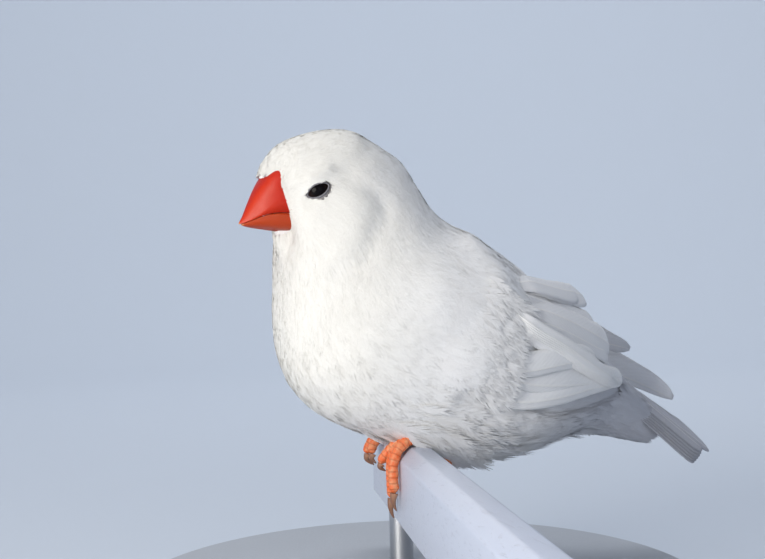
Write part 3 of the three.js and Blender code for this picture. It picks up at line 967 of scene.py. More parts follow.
@dataclass
class Feathers:
    """Many small feathers as arrays: station and angle of the root, sizes in millimetres, and stance.

    low and high are the heights over the skin at root and tip, yaw turns the feather on the body, and
    curl lifts its tip.
    """

    s: Array
    phi: Array
    length: Array
    width: Array
    low: Array
    high: Array
    yaw: Array
    curl: Array

    def pick(self, keep: Array) -> "Feathers":
        """Only the feathers where keep is true."""
        return Feathers(*(getattr(self, name)[keep] for name in self.__dataclass_fields__))


def lay_feathers(
    form: "BodyForm | SheetCoat", feathers: Feathers, barbs: Barbs, seed: int
) -> MeshData:
    """Meshes a set of small feathers on the body.

    On the feather's own plane a point q along barb k is at
    a = length (a_k + (e_k - a_k) q) along the shaft and b = width r_k q^0.75 across it; the plane is
    turned by yaw, walked off over the body's surface, and raised from low at the root to high at the
    tip, plus curl times the square of the way along.

    Args:
        form: The body, or a wing's sheet.
        feathers: The feathers.
        barbs: Their kind.
        seed: Seed of the small differences between barbs.

    Returns:
        Points, quads, maps and attributes for make_piece.
    """
    rng = np.random.default_rng(seed)
    n, k, m = len(feathers.s), barbs.strips, barbs.spans + 1
    # middle line of each strip on the feather's plane; the last strip is the shaft
    share = np.linspace(barbs.first, barbs.last, barbs.pairs)
    start = np.concatenate([share, share, [0.0]])
    side = np.concatenate([np.ones(barbs.pairs), -np.ones(barbs.pairs), [0.0]])
    end = np.minimum(start + barbs.sweep, 0.985)
    end[-1] = 1.0
    rim = 0.5 * np.sqrt(np.maximum(1 - ((end - 0.5) / 0.56) ** 2, 0.03)) * side
    q = np.linspace(0, 1, m)
    jitter = rng.normal(0, 1, (3, n, k)) * barbs.stray
    ends = end + jitter[0] * 0.7
    rims = rim + jitter[1] * 0.6
    a = start[None, :, None] + (ends - start)[..., None] * q
    b = rims[..., None] * q**0.75
    length = feathers.length[:, None, None]
    width = feathers.width[:, None, None]
    a, b = a * length, b * width
    da, db = np.gradient(a, axis=2), np.gradient(b, axis=2)
    norm = np.sqrt(da**2 + db**2) + 1e-9
    thick = barbs.wide * width * (1.0 - 0.86 * q**2.2) * (1 + 0.25 * np.abs(side[None, :, None] == 0))
    bow = np.cos(np.clip(b / width, -0.7, 0.7) * 2.2)
    climb = np.clip(a / length, 0, 1.2)
    raise_ = feathers.low[:, None, None] + (feathers.high - feathers.low)[:, None, None] * climb**0.8
    raise_ = raise_ * (0.93 + 0.07 * bow) + feathers.curl[:, None, None] * climb**2
    raise_ = raise_ + (jitter[2] * 0.35)[..., None] * q
    roll = rng.normal(0, 0.03, (n, k, 1))
    # the strips' two edges, then their place on the body
    edges = []
    for sign in (-1.0, 1.0):
        ea = a - sign * thick * db / norm
        eb = b + sign * thick * da / norm
        edges.append(np.stack([ea, eb, raise_ + sign * roll * (1 - q)], -1))
    grid = np.stack(edges, 3)
    ea, eb, eh = grid[..., 0], grid[..., 1], grid[..., 2]
    yaw = feathers.yaw[:, None, None, None]
    along = ea * np.cos(yaw) - eb * np.sin(yaw)
    across = ea * np.sin(yaw) + eb * np.cos(yaw)
    metric = form.look(feathers.s, feathers.phi, form.metric)
    s = feathers.s[:, None, None, None] + along / metric[:, 0][:, None, None, None]
    phi = feathers.phi[:, None, None, None] + across / np.maximum(metric[:, 1], 1.2)[:, None, None, None]
    flat = s.reshape(-1), phi.reshape(-1), eh.reshape(-1)
    points = form.at(*flat)
    out = form.outward(flat[0], flat[1])
    fore = unit(form.at(flat[0] + 0.02, flat[1], flat[2]) - points)
    # shading as if over one rounded feather
    side_tilt = barbs.dome * eb / width[..., None] + rng.normal(0, barbs.uneven, (n, k, 1, 1))
    fore_tilt = barbs.dome * 0.8 * np.clip(ea / length[..., None] - 0.55, -0.5, 0.5)
    shade = out + np.cross(out, fore) * side_tilt.reshape(-1)[:, None] + fore * fore_tilt.reshape(-1)[:, None]
    strip = grid_faces(m, 2)
    quads = (strip[None] + (np.arange(n * k) * m * 2)[:, None, None]).reshape(-1, 4)
    shape = grid[..., 0].shape
    tone = np.broadcast_to(rng.random(n)[:, None, None, None], shape).reshape(-1)
    # root: share of the painted shade on a feather's covered end
    root = np.broadcast_to((1 - climb[..., None]) ** 2, shape).reshape(-1)
    vane = np.stack([
        np.broadcast_to(np.array([0.0, 1.0]), shape).reshape(-1),
        np.broadcast_to(q[None, None, :, None], shape).reshape(-1),
    ], -1)
    home = form.unwrap(feathers.s, feathers.phi)[:, None, None, None, :]
    local = np.stack([eb / width[..., None] * 0.9, ea / length[..., None] - 0.5], -1)
    patch = (home + TUFT_PATCH * 0.8 * local).reshape(-1, 2)
    return {
        "points": points,
        "quads": quads,
        "uv": {"Vane": vane, COAT_MAP: patch},
        "numbers": {"tone": tone, "root": np.clip(root, 0, 1)},
        "normals": unit(shade),
    }


@dataclass(frozen=True)
class Plumage:
    """How the coat changes from the bill back: millimetres for each station of the body.

    slim is a feather's width as a share of its length.
    """

    spacing: tuple[float, ...] = (
        0.42, 0.46, 0.52, 0.60, 0.66, 0.74, 0.82, 0.88, 0.94, 0.98, 1.00, 1.00, 1.00, 1.00, 0.98, 0.96,
        0.92, 0.9)
    length: tuple[float, ...] = (
        1.1, 1.4, 1.9, 2.4, 2.9, 3.4, 4.0, 4.6, 5.2, 5.6, 6.0, 6.2, 6.4, 6.6, 6.6, 6.6, 5.4, 3.4)
    slim: float = 0.42

    def at(self, name: str, s: Array) -> Array:
        """Value of spacing or length at stations s."""
        return np.interp(s, np.arange(len(STATIONS)), getattr(self, name))


def sow(form: BodyForm, plumage: Plumage, span: tuple[float, float], seed: int) -> tuple[Array, Array]:
    """Roots of the coat between two stations, in staggered rows that follow the spacing.

    Args:
        form: The body.
        plumage: Spacing along the body.
        span: First and last station.
        seed: Seed of the rows' unevenness.

    Returns:
        Stations and angles of the roots.
    """
    rng = np.random.default_rng(seed)
    s, row = span[0], 0
    all_s, all_phi = [], []
    phi = np.linspace(0, 2 * math.pi, form.round + 1)
    while s < span[1]:
        gap = float(plumage.at("spacing", np.array([s]))[0])
        i = int(round((s - form.low) / (form.high - form.low) * (form.steps - 1)))
        metric = form.metric[min(i, form.steps - 1)]
        step = 0.9 * gap / np.percentile(metric[:, 0], 75)
        around = np.concatenate([[0.0], np.cumsum(metric[:, 1]) * (2 * math.pi / form.round)])
        count = max(int(around[-1] / gap), 6)
        spots = (np.arange(count) + 0.5 * (row % 2) + rng.uniform(-0.3, 0.3, count)) / count % 1.0
        here = np.interp(spots * around[-1], around, phi)
        where = s + rng.uniform(-0.35, 0.35, count) * step
        # where the rows draw together, some roots are left out
        crowd = np.interp(here, phi, np.append(metric[:, 0], metric[0, 0])) * step / (0.9 * gap)
        keep = rng.random(count) < np.clip(crowd * 1.6, 0.5, 1.0)
        all_s.append(where[keep])
        all_phi.append(here[keep])
        s += step
        row += 1
    return np.concatenate(all_s), np.concatenate(all_phi)


def closed_tube(rings: Array) -> tuple[Array, Array, Array]:
    """Closes a (rows, cols, 3) grid of rings into a tube with a fan over each end, facing outwards.

    Args:
        rings: The rings, from end to end.

    Returns:
        Points with the two end centres last, quads, and triangles.
    """
    rows, cols = rings.shape[:2]
    points = np.concatenate([rings.reshape(-1, 3), rings[0].mean(0)[None], rings[-1].mean(0)[None]])
    quads = grid_faces(rows, cols, wrap=True)
    j = np.arange(cols)
    k = (j + 1) % cols
    first = np.stack([k, j, np.full(cols, rows * cols)], -1)
    last_row = (rows - 1) * cols
    last = np.stack([last_row + j, last_row + k, np.full(cols, rows * cols + 1)], -1)
    triangles = np.concatenate([first, last])
    if enclosed(points, quads, triangles) < 0:
        quads, triangles = quads[:, ::-1], triangles[:, ::-1]
    return points, quads, triangles


def end_capped(across: Array, along: Array) -> Array:
    """The (n, 2) map of a closed tube from its two coordinates, with the end centres' places last."""
    grid = np.stack(np.broadcast_arrays(across, along), -1).reshape(-1, 2)
    return np.concatenate([grid, [[0.5, 0.0], [0.5, 1.0]]])


def closed_ring(rings: Array) -> tuple[Array, Array]:
    """Closes a (rows, cols, 3) grid of rings both ways, as a ring with a thick edge.

    Args:
        rings: The rings, once round.

    Returns:
        Points and quads.
    """
    rows, cols = rings.shape[:2]
    points = rings.reshape(-1, 3)
    quads = grid_faces(rows + 1, cols, wrap=True) % (rows * cols)
    if enclosed(points, quads, np.zeros((0, 3), int)) < 0:
        quads = quads[:, ::-1]
    return points, quads


def enclosed(points: Array, quads: Array, triangles: Array) -> float:
    """Six times the volume inside closed faces, negative where they point inwards.

    Args:
        points, quads, triangles: The mesh.

    Returns:
        Cubic millimetres.
    """
    tri = np.concatenate([quads[:, [0, 1, 2]], quads[:, [0, 2, 3]], triangles])
    a, b, c = (points[tri[:, i]] for i in range(3))
    return float(np.einsum("ij,ij->i", a, np.cross(b, c)).sum())


def joined(parts: Sequence[MeshData]) -> MeshData:
    """Several meshes as one.

    Args:
        parts: Arguments of mesh_object for each, and slot, the number of its material.

    Returns:
        Arguments of mesh_object for the whole; a map or attribute that a part lacks is 0 there.
    """
    out: MeshData = {"uv": {}, "numbers": {}}
    start, points, quads, triangles, slots_q, slots_t = 0, [], [], [], [], []
    for part in parts:
        tri = part.get("triangles", np.zeros((0, 3), int))
        points.append(part["points"])
        quads.append(part["quads"] + start)
        triangles.append(tri + start)
        slots_q.append(np.full(len(part["quads"]), part.get("slot", 0)))
        slots_t.append(np.full(len(tri), part.get("slot", 0)))
        start += len(part["points"])
    out["points"] = np.concatenate(points)
    out["quads"] = np.concatenate(quads)
    out["triangles"] = np.concatenate(triangles)
    out["slots_of_faces"] = np.concatenate(slots_q + slots_t)
    if all("normals" in part for part in parts):
        out["normals"] = np.concatenate([part["normals"] for part in parts])
    for kind, width in (("uv", (2,)), ("numbers", ())):
        for name in sorted({name for part in parts for name in part.get(kind, {})}):
            out[kind][name] = np.concatenate([
                part.get(kind, {}).get(name, np.zeros((len(part["points"]), *width))) for part in parts
            ])
    return out


# The wings and the tail


@dataclass(frozen=True)
class Sheet:
    """The surface that a row of folded wing feathers lies in, between an upper and a lower edge.

    The edges are rows of points from root to tip, and bulge is how far its middle stands out.
    """

    upper: tuple[Point, ...]
    lower: tuple[Point, ...]
    bulge: float

    def edges(self, t: Array) -> tuple[Array, Array]:
        """Upper and lower edge at t, from 0 at the root to 1 at the tip.

        Args:
            t: (n,) places along.

        Returns:
            (n, 3) points of each.
        """
        a = smooth_rows(np.array(self.upper), t * (len(self.upper) - 1))
        b = smooth_rows(np.array(self.lower), t * (len(self.lower) - 1))
        return a, b

    def outward(self, t: Array) -> Array:
        """Unit normals on the outer side.

        Args:
            t: (n,) places along.

        Returns:
            (n, 3) directions.
        """
        inner = np.clip(t, 0.02, 0.9)
        a, b = self.edges(inner)
        a2, b2 = self.edges(inner + 0.02)
        out = unit(np.cross(a2 + b2 - a - b, a - b))
        side = np.sign(a[:, :1] + b[:, :1])
        return out * np.sign(out[:, :1]) * side

    def at(self, t: Array, v: Array, height: Array) -> Array:
        """Points at t along and v across (0 upper edge, 1 lower), raised by height.

        Args:
            t: Places along.
            v: Places across.
            height: Millimetres.

        Returns:
            (n, 3) points.
        """
        a, b = self.edges(t)
        crown = self.bulge * 4 * v * (1 - v) * (1 - np.clip(t, 0, 1) * 0.5)
        return a + (b - a) * v[:, None] + self.outward(t) * (crown + height)[:, None]


@dataclass(frozen=True)
class Quill:
    """One whole feather of a wing or the tail.

    root and tip are places (t, v) in its sheet, lead and trail its widths on the two sides of the
    shaft, and height how high it lies. blunt is where its rim starts to close, as a share of the
    length, skew how much sooner it does so behind the shaft, and bow bends the shaft across.
    """

    root: tuple[float, float]
    tip: tuple[float, float]
    lead: float
    trail: float
    height: float
    blunt: float = 0.72
    bow: float = 0.0
    skew: float = 0.0


# patches along each side of a wing's or the tail's map
MAP_CELLS = 8


@dataclass(frozen=True)
class VaneShape:
    """How whole feathers are meshed.

    spans and across count the vertices along and across, thick and shaft are the blade's thickness
    and the shaft's height, and camber is the dome's height as a share of the half width.
    """

    spans: int = 44
    across: int = 9
    thick: float = 0.14
    shaft: float = 0.26
    camber: float = 0.14

    def mesh(
        self, centre: Array, out: Array, quill: Quill, number: int, rng: np.random.Generator, tone: float
    ) -> MeshData:
        """A closed vane round a shaft.

        Across the vane b runs from -trail to lead. The widths rise smoothly over the first third and
        close in a half ellipse over the tip; the height is a dome 1 - (b / width)^2 with a ridge of
        the shaft's size in the middle.

        Args:
            centre: (m, 3) shaft line.
            out: (m, 3) outward directions.
            quill: The feather's sizes.
            number: Number of its patch in the piece's map of MAP_CELLS by MAP_CELLS.
            rng: Source of the small splits in the rim.
            tone: Its tone, 0 to 1, lower for darker; on a wing it carries its sheet's painted shade.

        Returns:
            Arguments of mesh_object.
        """
        m = len(centre)
        q = np.linspace(0, 1, m)
        along = unit(np.gradient(centre, axis=0))
        across = unit(np.cross(out, along))
        out = unit(np.cross(along, across))
        rise = 0.22 + 0.78 * smoothstep(0.0, 0.34, q)
        close, close_behind = (
            np.sqrt(np.maximum(1 - (np.clip(q - blunt, 0, 1) / (1.0 - blunt + 0.004)) ** 2, 0.0009))
            for blunt in (quill.blunt, quill.blunt - quill.skew))
        split = np.convolve(rng.normal(0, 1, m + 2), [0.3, 0.4, 0.3], "valid") * 0.035
        split = split * smoothstep(0.3, 0.8, q)
        nick = np.where(rng.random(m) < 0.07, -0.10, 0.0) * smoothstep(0.35, 0.6, q)
        lead = quill.lead * rise * close * (1 + split)
        trail = quill.trail * rise * close_behind * (1 + split[::-1] + nick)
        share = np.linspace(-1, 1, self.across)
        share = np.sign(share) * np.abs(share) ** 1.15
        wide = np.where(share[None, :] > 0, lead[:, None], trail[:, None])
        b = share[None, :] * wide
        dome = self.camber * min(quill.lead + quill.trail, 5.0) * 0.5 * (1 - share[None, :] ** 2)
        shaft = np.where(np.abs(share) < 1e-6, self.shaft, 0.0)[None, :] * (1.1 - q[:, None])
        taper = 1 - 0.75 * share[None, :] ** 4
        high = dome * close[:, None] + shaft
        top = centre[:, None] + across[:, None] * b[..., None] + out[:, None] * high[..., None]
        under = top - out[:, None] * (self.thick * taper + shaft * 1.2)[..., None]
        ring = np.concatenate([top, under[:, ::-1]], 1)
        points, quads, triangles = closed_tube(ring)
        u = (share + 1) / 2
        u_ring = np.concatenate([u, u[::-1]])
        vane = end_capped(u_ring[None, :], q[:, None])
        side = np.concatenate([np.zeros(self.across), np.full(self.across, 0.5)])
        cu = (number % MAP_CELLS + 0.03 + 0.44 * u_ring[None, :] + side[None, :]) / MAP_CELLS
        cv = (number // MAP_CELLS + 0.04 + 0.92 * q[:, None]) / MAP_CELLS
        bake = np.stack(np.broadcast_arrays(cu, cv), -1).reshape(-1, 2)
        bake = np.concatenate([bake, bake[:1], bake[-1:]])
        count = len(points)
        # root: share of the painted shade on the covered end
        root = np.concatenate([np.repeat((1 - q) ** 3, 2 * self.across), [1.0, 0.0]])
        return {
            "points": points, "quads": quads, "triangles": triangles,
            "uv": {"Vane": vane, COAT_MAP: bake},
            "numbers": {"tone": np.full(count, tone), "root": root * 0.6},
        }


# how deep a quill's root lies under its sheet, and the share of its length over which it comes up
QUILL_SUNK, QUILL_RISE = 1.3, 0.3


def quill_line(sheet: Sheet, quill: Quill, spans: int) -> tuple[Array, Array]:
    """Shaft line and outward directions of a feather in its sheet.

    The line runs straight in (t, v) from root to tip, bowed across by bow sin(pi q). It starts
    QUILL_SUNK under the sheet and rises to its height over the first share QUILL_RISE.

    Args:
        sheet: The sheet.
        quill: The feather.
        spans: Number of points.

    Returns:
        Points, and a direction at each.
    """
    q = np.linspace(0, 1, spans)
    t = quill.root[0] + (quill.tip[0] - quill.root[0]) * q
    v = quill.root[1] + (quill.tip[1] - quill.root[1]) * q + quill.bow * np.sin(math.pi * q)
    rise = smoothstep(0.0, QUILL_RISE, q)
    height = quill.height * rise - QUILL_SUNK * (1 - rise)
    return sheet.at(t, v, height), sheet.outward(t)


@dataclass
class SheetCoat:
    """Lets small feathers be laid on a wing sheet as they are on the body, with t and v for s and phi."""

    sheet: Sheet
    form: BodyForm
    metric: None = None

    def look(self, s: Array, phi: Array, grid: None) -> Array:
        """Size in millimetres of a step in t and of a step in v, worked out without a grid.

        Args:
            s: Places along.
            phi: Places across.
            grid: Not read.

        Returns:
            (n, 2) sizes.
        """
        zero = np.zeros_like(s)
        here = self.sheet.at(s, phi, zero)
        along = np.linalg.norm(self.sheet.at(s + 0.01, phi, zero) - here, axis=1) / 0.01
        across = np.linalg.norm(self.sheet.at(s, phi + 0.01, zero) - here, axis=1) / 0.01
        return np.stack([along, np.maximum(across, 4.0)], -1)

    def at(self, s: Array, phi: Array, height: Array) -> Array:
        """Points at a height over the sheet."""
        return self.sheet.at(s, phi, height)

    def outward(self, s: Array, phi: Array) -> Array:
        """Outward normals of the sheet."""
        return self.sheet.outward(s)

    def unwrap(self, s: Array, phi: Array) -> Array:
        """Place of the nearest skin on the skin's own unwrap."""
        return self.form.nearest(self.sheet.at(s, phi, np.zeros_like(s)))


LEFT_HAND = Sheet(
    ((18.3, 9, 55), (18.8, 14, 50.4), (17.3, 21.5, 47.1), (13.6, 30.2, 42.9), (9.6, 36.0, 39.3)),
    ((18.6, 4, 42), (18.6, 11, 37.6), (16.9, 19.2, 36.0), (13.2, 28.2, 36.9), (9.5, 36.2, 38.4)), 1.2)
LEFT_ARM = Sheet(
    ((12.6, 11, 60.2), (12.2, 20.5, 56.2), (10.4, 29.0, 52.0), (8.6, 35.2, 47.0)),
    ((18.4, 12, 50.8), (17.4, 20.4, 47.9), (14.4, 28.3, 44.8), (10.6, 33.6, 43.8)), 1.3)
LEFT_BACK = Sheet(
    ((5.6, 13, 62.2), (6.4, 20.4, 58.3), (5.8, 26.8, 56.0), (5.2, 31.4, 53.4)),
    ((14.4, 12, 57.0), (13.4, 19.6, 53.4), (11.2, 26.2, 51.0), (8.4, 30.8, 51.4)), 1.2)
RIGHT_HAND = Sheet(
    ((-17.8, 12, 54.6), (-15.6, 23, 51.4), (-10.0, 35, 48.2), (-5.6, 46.6, 42.4), (-3.2, 55.4, 34.2)),
    ((-18.8, 7, 43), (-18.0, 18, 39.4), (-14.0, 31, 37.6), (-8.0, 44.6, 36.4), (-2.9, 55.6, 33.2)), 1.2)
RIGHT_ARM = Sheet(
    ((-12.6, 11, 60.2), (-12.0, 21, 56.4), (-8.8, 32.0, 52.0), (-4.4, 45.6, 45.4)),
    ((-18.4, 12, 50.8), (-16.4, 23, 47.9), (-12.2, 34, 44.8), (-5.6, 47.0, 42.4)), 1.3)
RIGHT_BACK = Sheet(
    ((-5.6, 13, 62.2), (-6.4, 20.4, 58.3), (-5.8, 26.8, 55.6), (-5.2, 31.4, 52.6)),
    ((-14.4, 12, 57.0), (-13.4, 19.6, 53.4), (-11.2, 26.2, 51.0), (-8.4, 30.8, 51.0)), 1.2)


def fan(count: int, first: Quill, last: Quill) -> list[Quill]:
    """Feathers that change evenly from the first to the last.

    Args:
        count: How many.
        first: The first feather.
        last: The last one.

    Returns:
        All of them, in order.
    """
    ends = [(*quill.root, *quill.tip, quill.lead, quill.trail, quill.height) for quill in (first, last)]
    rows = np.linspace(*ends, count).tolist()
    return [Quill((row[0], row[1]), (row[2], row[3]), *row[4:]) for row in rows]


@dataclass(frozen=True)
class Coverts:
    """Rows of small feathers over a stretch of a wing's first sheet, from edge to edge.

    t and v are the first and last place along and across, count is how many stand in a row, and step
    is the distance of the rows in t.
    """

    t: tuple[float, float]
    v: tuple[float, float]
    length: float
    height: float = 1.1
    count: int = 17
    step: float = 0.035
    slim: float = 0.42
    sunk: float = 0.3

    def feathers(self, rng: np.random.Generator) -> Feathers:
        """All of them, in staggered rows.

        Args:
            rng: Source of their small differences.

        Returns:
            The feathers.
        """
        rows = max(int(round((self.t[1] - self.t[0]) / self.step)), 1)
        t = np.repeat(np.linspace(*self.t, rows), self.count)
        v = np.tile(np.linspace(*self.v, self.count), rows)
        v = v + np.repeat(np.arange(rows) % 2, self.count) * 0.5 * (self.v[1] - self.v[0]) / (self.count - 1)
        n = len(t)
        size = self.length * rng.uniform(0.85, 1.12, n)
        return Feathers(
            t + rng.uniform(-0.015, 0.015, n), v + rng.uniform(-0.02, 0.02, n), size, size * self.slim,
            np.full(n, -self.sunk), self.height + rng.uniform(-0.05, 0.1, n), rng.normal(0, 0.06, n),
            np.zeros(n))


@dataclass
class Wing:
    """A folded wing: whole feathers in three sheets, with coverts over the first sheet's roots.

    brightness sets the painted shade of each sheet's feathers, from 0, darkest, to 1, lightest.
    """

    name: str
    node: str
    sheets: tuple[tuple[Sheet, list[Quill]], ...]
    coverts: Coverts
    seed: int
    brightness: tuple[float, ...] = (0.9, 0.3, 0.1)
    shape: VaneShape = VaneShape()
    barbs: Barbs = Barbs(pairs=8, spans=3, wide=0.06, stray=0.05, dome=0.2, uneven=0.05)

    def build(self, form: BodyForm, vane: Material, soft: Material) -> None:
        """Meshes the wing as one piece of vanes and one of coverts.

        On the right wing the vane's two sides change places, and so do the faces' turn.

        Args:
            form: The body, for the coverts' place on the skin's unwrap.
            vane: Finish of the whole feathers.
            soft: Finish of the coverts.
        """
        rng = np.random.default_rng(self.seed)
        parts = []
        for (sheet, quills), brightness in zip(self.sheets, self.brightness):
            for quill in quills:
                centre, out = quill_line(sheet, quill, self.shape.spans)
                if centre[0, 0] < 0:
                    quill = replace(quill, lead=quill.trail, trail=quill.lead)
                # painted shade of the sheet, with a little random tone on top
                tone = brightness + 0.1 * float(rng.random())
                parts.append(self.shape.mesh(centre, out, quill, len(parts), rng, tone))
        wing = make_piece(self.name, materials=[vane], slot="feathers", **joined(parts))
        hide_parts(self.node)
        feathers = self.coverts.feathers(rng)
        sheet = SheetCoat(self.sheets[0][0], form)
        laid = joined([lay_feathers(sheet, feathers, self.barbs, self.seed + len(feathers.s))])
        if laid["points"][0, 0] < 0:
            laid["quads"] = laid["quads"][:, ::-1]
        coverts = make_piece(f"{self.name}_coverts", materials=[soft], slot="feathers", **laid)
        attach(coverts, BODY)


@dataclass
class Tail:
    """Whole tail feathers side by side on a sloping axis, rolled about it.

    Each pair has a shorter feather on the near side and a longer one on the far side, which leaves
    a notch. half is their half width, root is where the axis starts, and start is how far
    along it the vanes do.
    """

    pairs: int = 6
    half: float = 2.4
    root: Point = (0.6, 36.4, 41.4)
    slope_deg: float = 37.0
    roll_deg: float = 40.0
    start: float = 5.0
    seed: int = 31
    shape: VaneShape = VaneShape(camber=0.1, thick=0.12, shaft=0.22)

    def feathers(self) -> list[tuple[float, float, float, float]]:
        """Out, length, splay in degrees and lift of each feather, outermost first on each side.

        Returns:
            A row for each.
        """
        rows = []
        for step in range(self.pairs - 1, -1, -1):
            share = step / (self.pairs - 1)
            wide, short, low = 2.8 * share, share**1.4, 1.2 * share
            rows.append((0.7 + wide, 27.6 - 1.6 * short, 2.6 + 4.2 * share, 0.7 - low))
            rows.append((-0.6 - wide, 30.4 - 1.9 * short, -1.4 - 4.2 * share, 0.3 - low))
        return rows

    def parts(self) -> list[MeshData]:
        """The feathers' meshes, outermost and lowest first.

        Returns:
            Arguments of mesh_object for each.
        """
        slope, roll = math.radians(self.slope_deg), math.radians(self.roll_deg)
        axis = np.array([0.0, math.cos(slope), -math.sin(slope)])
        level, above = np.array([1.0, 0.0, 0.0]), np.array([0.0, math.sin(slope), math.cos(slope)])
        side = level * math.cos(roll) - above * math.sin(roll)
        up = np.cross(side, axis)
        rng = np.random.default_rng(self.seed)
        parts = []
        for number, (out, length, splay, lift) in enumerate(self.feathers()):
            q = np.linspace(0, 1, self.shape.spans)
            go = self.start + (length - self.start) * q
            off = out * (0.4 + 0.6 * go / length) + math.sin(math.radians(splay)) * go * 0.55
            centre = np.array(self.root) + axis * go[:, None] + side * off[:, None] + up * lift
            inner, outer = self.half * 0.9, self.half * 0.62
            lead, trail = (outer, inner) if out > 0 else (inner, outer)
            quill = Quill((0, 0), (0, 0), lead, trail, 0.0, blunt=0.84)
            bulge = np.broadcast_to(up, centre.shape)
            parts.append(self.shape.mesh(centre, bulge, quill, number, rng, float(rng.random())))
        return parts

    def build(self, vane: Material) -> None:
        """Meshes the tail as one piece."""
        tail = make_piece("tail_feathers", materials=[vane], slot="feathers", **joined(self.parts()))
        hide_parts("tail")


# The head's hard parts


@dataclass
class Eye:
    """An eyeball with the bare lids round its narrow, slanting opening.

    side is 1 on the left and -1 on the right. The opening's half sizes are angles at the ball's
    middle, in radians, and the places are those before the head's turn.
    """

    side: int
    node: str
    centre: Point = (6.2, -19.0, 72.4)
    radius: float = 2.45
    forward_deg: float = 27.0
    lift_deg: float = 2.0
    slant_deg: float = 27.0
    half_long: float = 0.81
    half_up: float = 0.32
    half_down: float = 0.41

    @property
    def axes(self) -> tuple[Array, Array, Array]:
        """Axis out of the opening, its long way (to the rear corner) and its upward way.

        Returns:
            The three unit vectors.
        """
        forward, lift, slant = (math.radians(a) for a in (self.forward_deg, self.lift_deg, self.slant_deg))
        axis = unit(np.array([math.cos(forward), -math.sin(forward), math.tan(lift)]))
        back = unit(np.cross(np.array([0.0, 0.0, 1.0]), axis))
        up = np.cross(axis, back)
        long_way = back * math.cos(slant) + up * math.sin(slant)
        return axis, long_way, np.cross(axis, long_way)

    def place(self, points: Array) -> Array:
        """Mirrors for the right side and turns with the head.

        Args:
            points: Places on the left, before the head's turn.

        Returns:
            The places on its own side.
        """
        out = points.copy()
        out[..., 0] *= self.side
        return turned_head(out)

    def build(self, ball_finish: Material, lid_finish: Material) -> None:
        """Meshes the ball and the lids.

        The ball is a sphere on its own axis. The lids lie on a sphere a little larger: the opening's
        edge is at the angle half_long cos, half_up or half_down sin, drawn to corners, and from there
        a bead, a groove and a fold lead outwards as the angle grows.

        Args:
            ball_finish: Finish of the ball.
            lid_finish: Finish of the lids.
        """
        axis, long_way, up = self.axes
        middle = np.array(self.centre)
        rho = np.linspace(0.0, math.pi, 40)[:, None]
        psi = turn_angles(56)[None, :]
        way = np.cos(psi)[..., None] * long_way + np.sin(psi)[..., None] * up
        bulge = self.radius * (1 + 0.03 * np.exp(-((rho / 0.5) ** 2)))
        ball = middle + bulge[..., None] * (np.cos(rho)[..., None] * axis + np.sin(rho)[..., None] * way)
        points, quads, triangles = closed_tube(self.place(ball))
        iris = np.exp(-(((rho - 0.62) / 0.16) ** 2)) * np.ones_like(psi)
        eye = make_piece(
            f"{self.node}_ball", points, quads, [ball_finish], "eye", triangles=triangles,
            numbers={"iris": np.concatenate([iris.reshape(-1), [0.0, 0.0]])})
        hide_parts(self.node)
        half_v = np.where(np.sin(psi) > 0, self.half_up, self.half_down)
        rim_x = self.half_long * np.cos(psi)
        rim_y = half_v * np.sin(psi) * np.abs(np.sin(psi)) ** 0.25
        steps = np.array([0.0, 0.0, 0.015, 0.045, 0.08, 0.12, 0.17, 0.24, 0.34, 0.50, 0.70])
        rise = np.array([-0.02, 0.08, 0.16, 0.20, 0.19, 0.11, 0.05, 0.08, 0.02, -0.16, -0.5])
        grow = 1 + steps[:, None] / np.hypot(rim_x, rim_y)
        lx, ly = rim_x * grow, rim_y * grow
        angle = np.hypot(lx, ly)
        turn = np.stack([lx / angle, ly / angle], -1)
        way = turn[..., :1] * long_way + turn[..., 1:] * up
        radius = self.radius + rise[:, None] * np.where(np.sin(psi) > 0, 0.9, 1.1)
        lids = middle + radius[..., None] * (np.cos(angle)[..., None] * axis + np.sin(angle)[..., None] * way)
        grid = self.place(lids)
        inner = self.place(middle + (lids - middle) * 0.86)
        rings = np.concatenate([inner[:1], grid, inner[-1:]])
        rows = len(rings)
        points, quads = closed_ring(rings)
        rim = np.interp(np.arange(rows), [0, 5, 7, 12], [1.0, 1.0, 0.3, 0.0])
        lid = make_piece(
            f"{self.node}_lids", points, quads, [lid_finish], "feathers",
            numbers={"rim": np.repeat(rim, psi.size)})
        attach(lid, BODY)

    def opening(self, points: Array, margin: float) -> Array:
        """How far points are from the opening's middle, 1 on an oval that is margin wider than its edge.

        Args:
            points: (n, 3) points.
            margin: Millimetres.

        Returns:
            (n,) numbers, 9 for points far off.
        """
        axis, long_way, up = self.axes
        middle = self.place(np.array(self.centre) + self.radius * axis)
        long_way, up = (
            self.place(np.array(self.centre) + v) - self.place(np.array(self.centre)) for v in (long_way, up))
        away = points - middle
        far = np.linalg.norm(away, axis=-1)
        x = away @ long_way / (self.radius * math.sin(self.half_long) + margin)
        y = away @ up
        y = y / np.where(y > 0, self.radius * math.sin(self.half_up) + margin * 0.5,
                         self.radius * math.sin(self.half_down) + margin)
        return np.where(far < 6.0, np.hypot(x, y), 9.0)


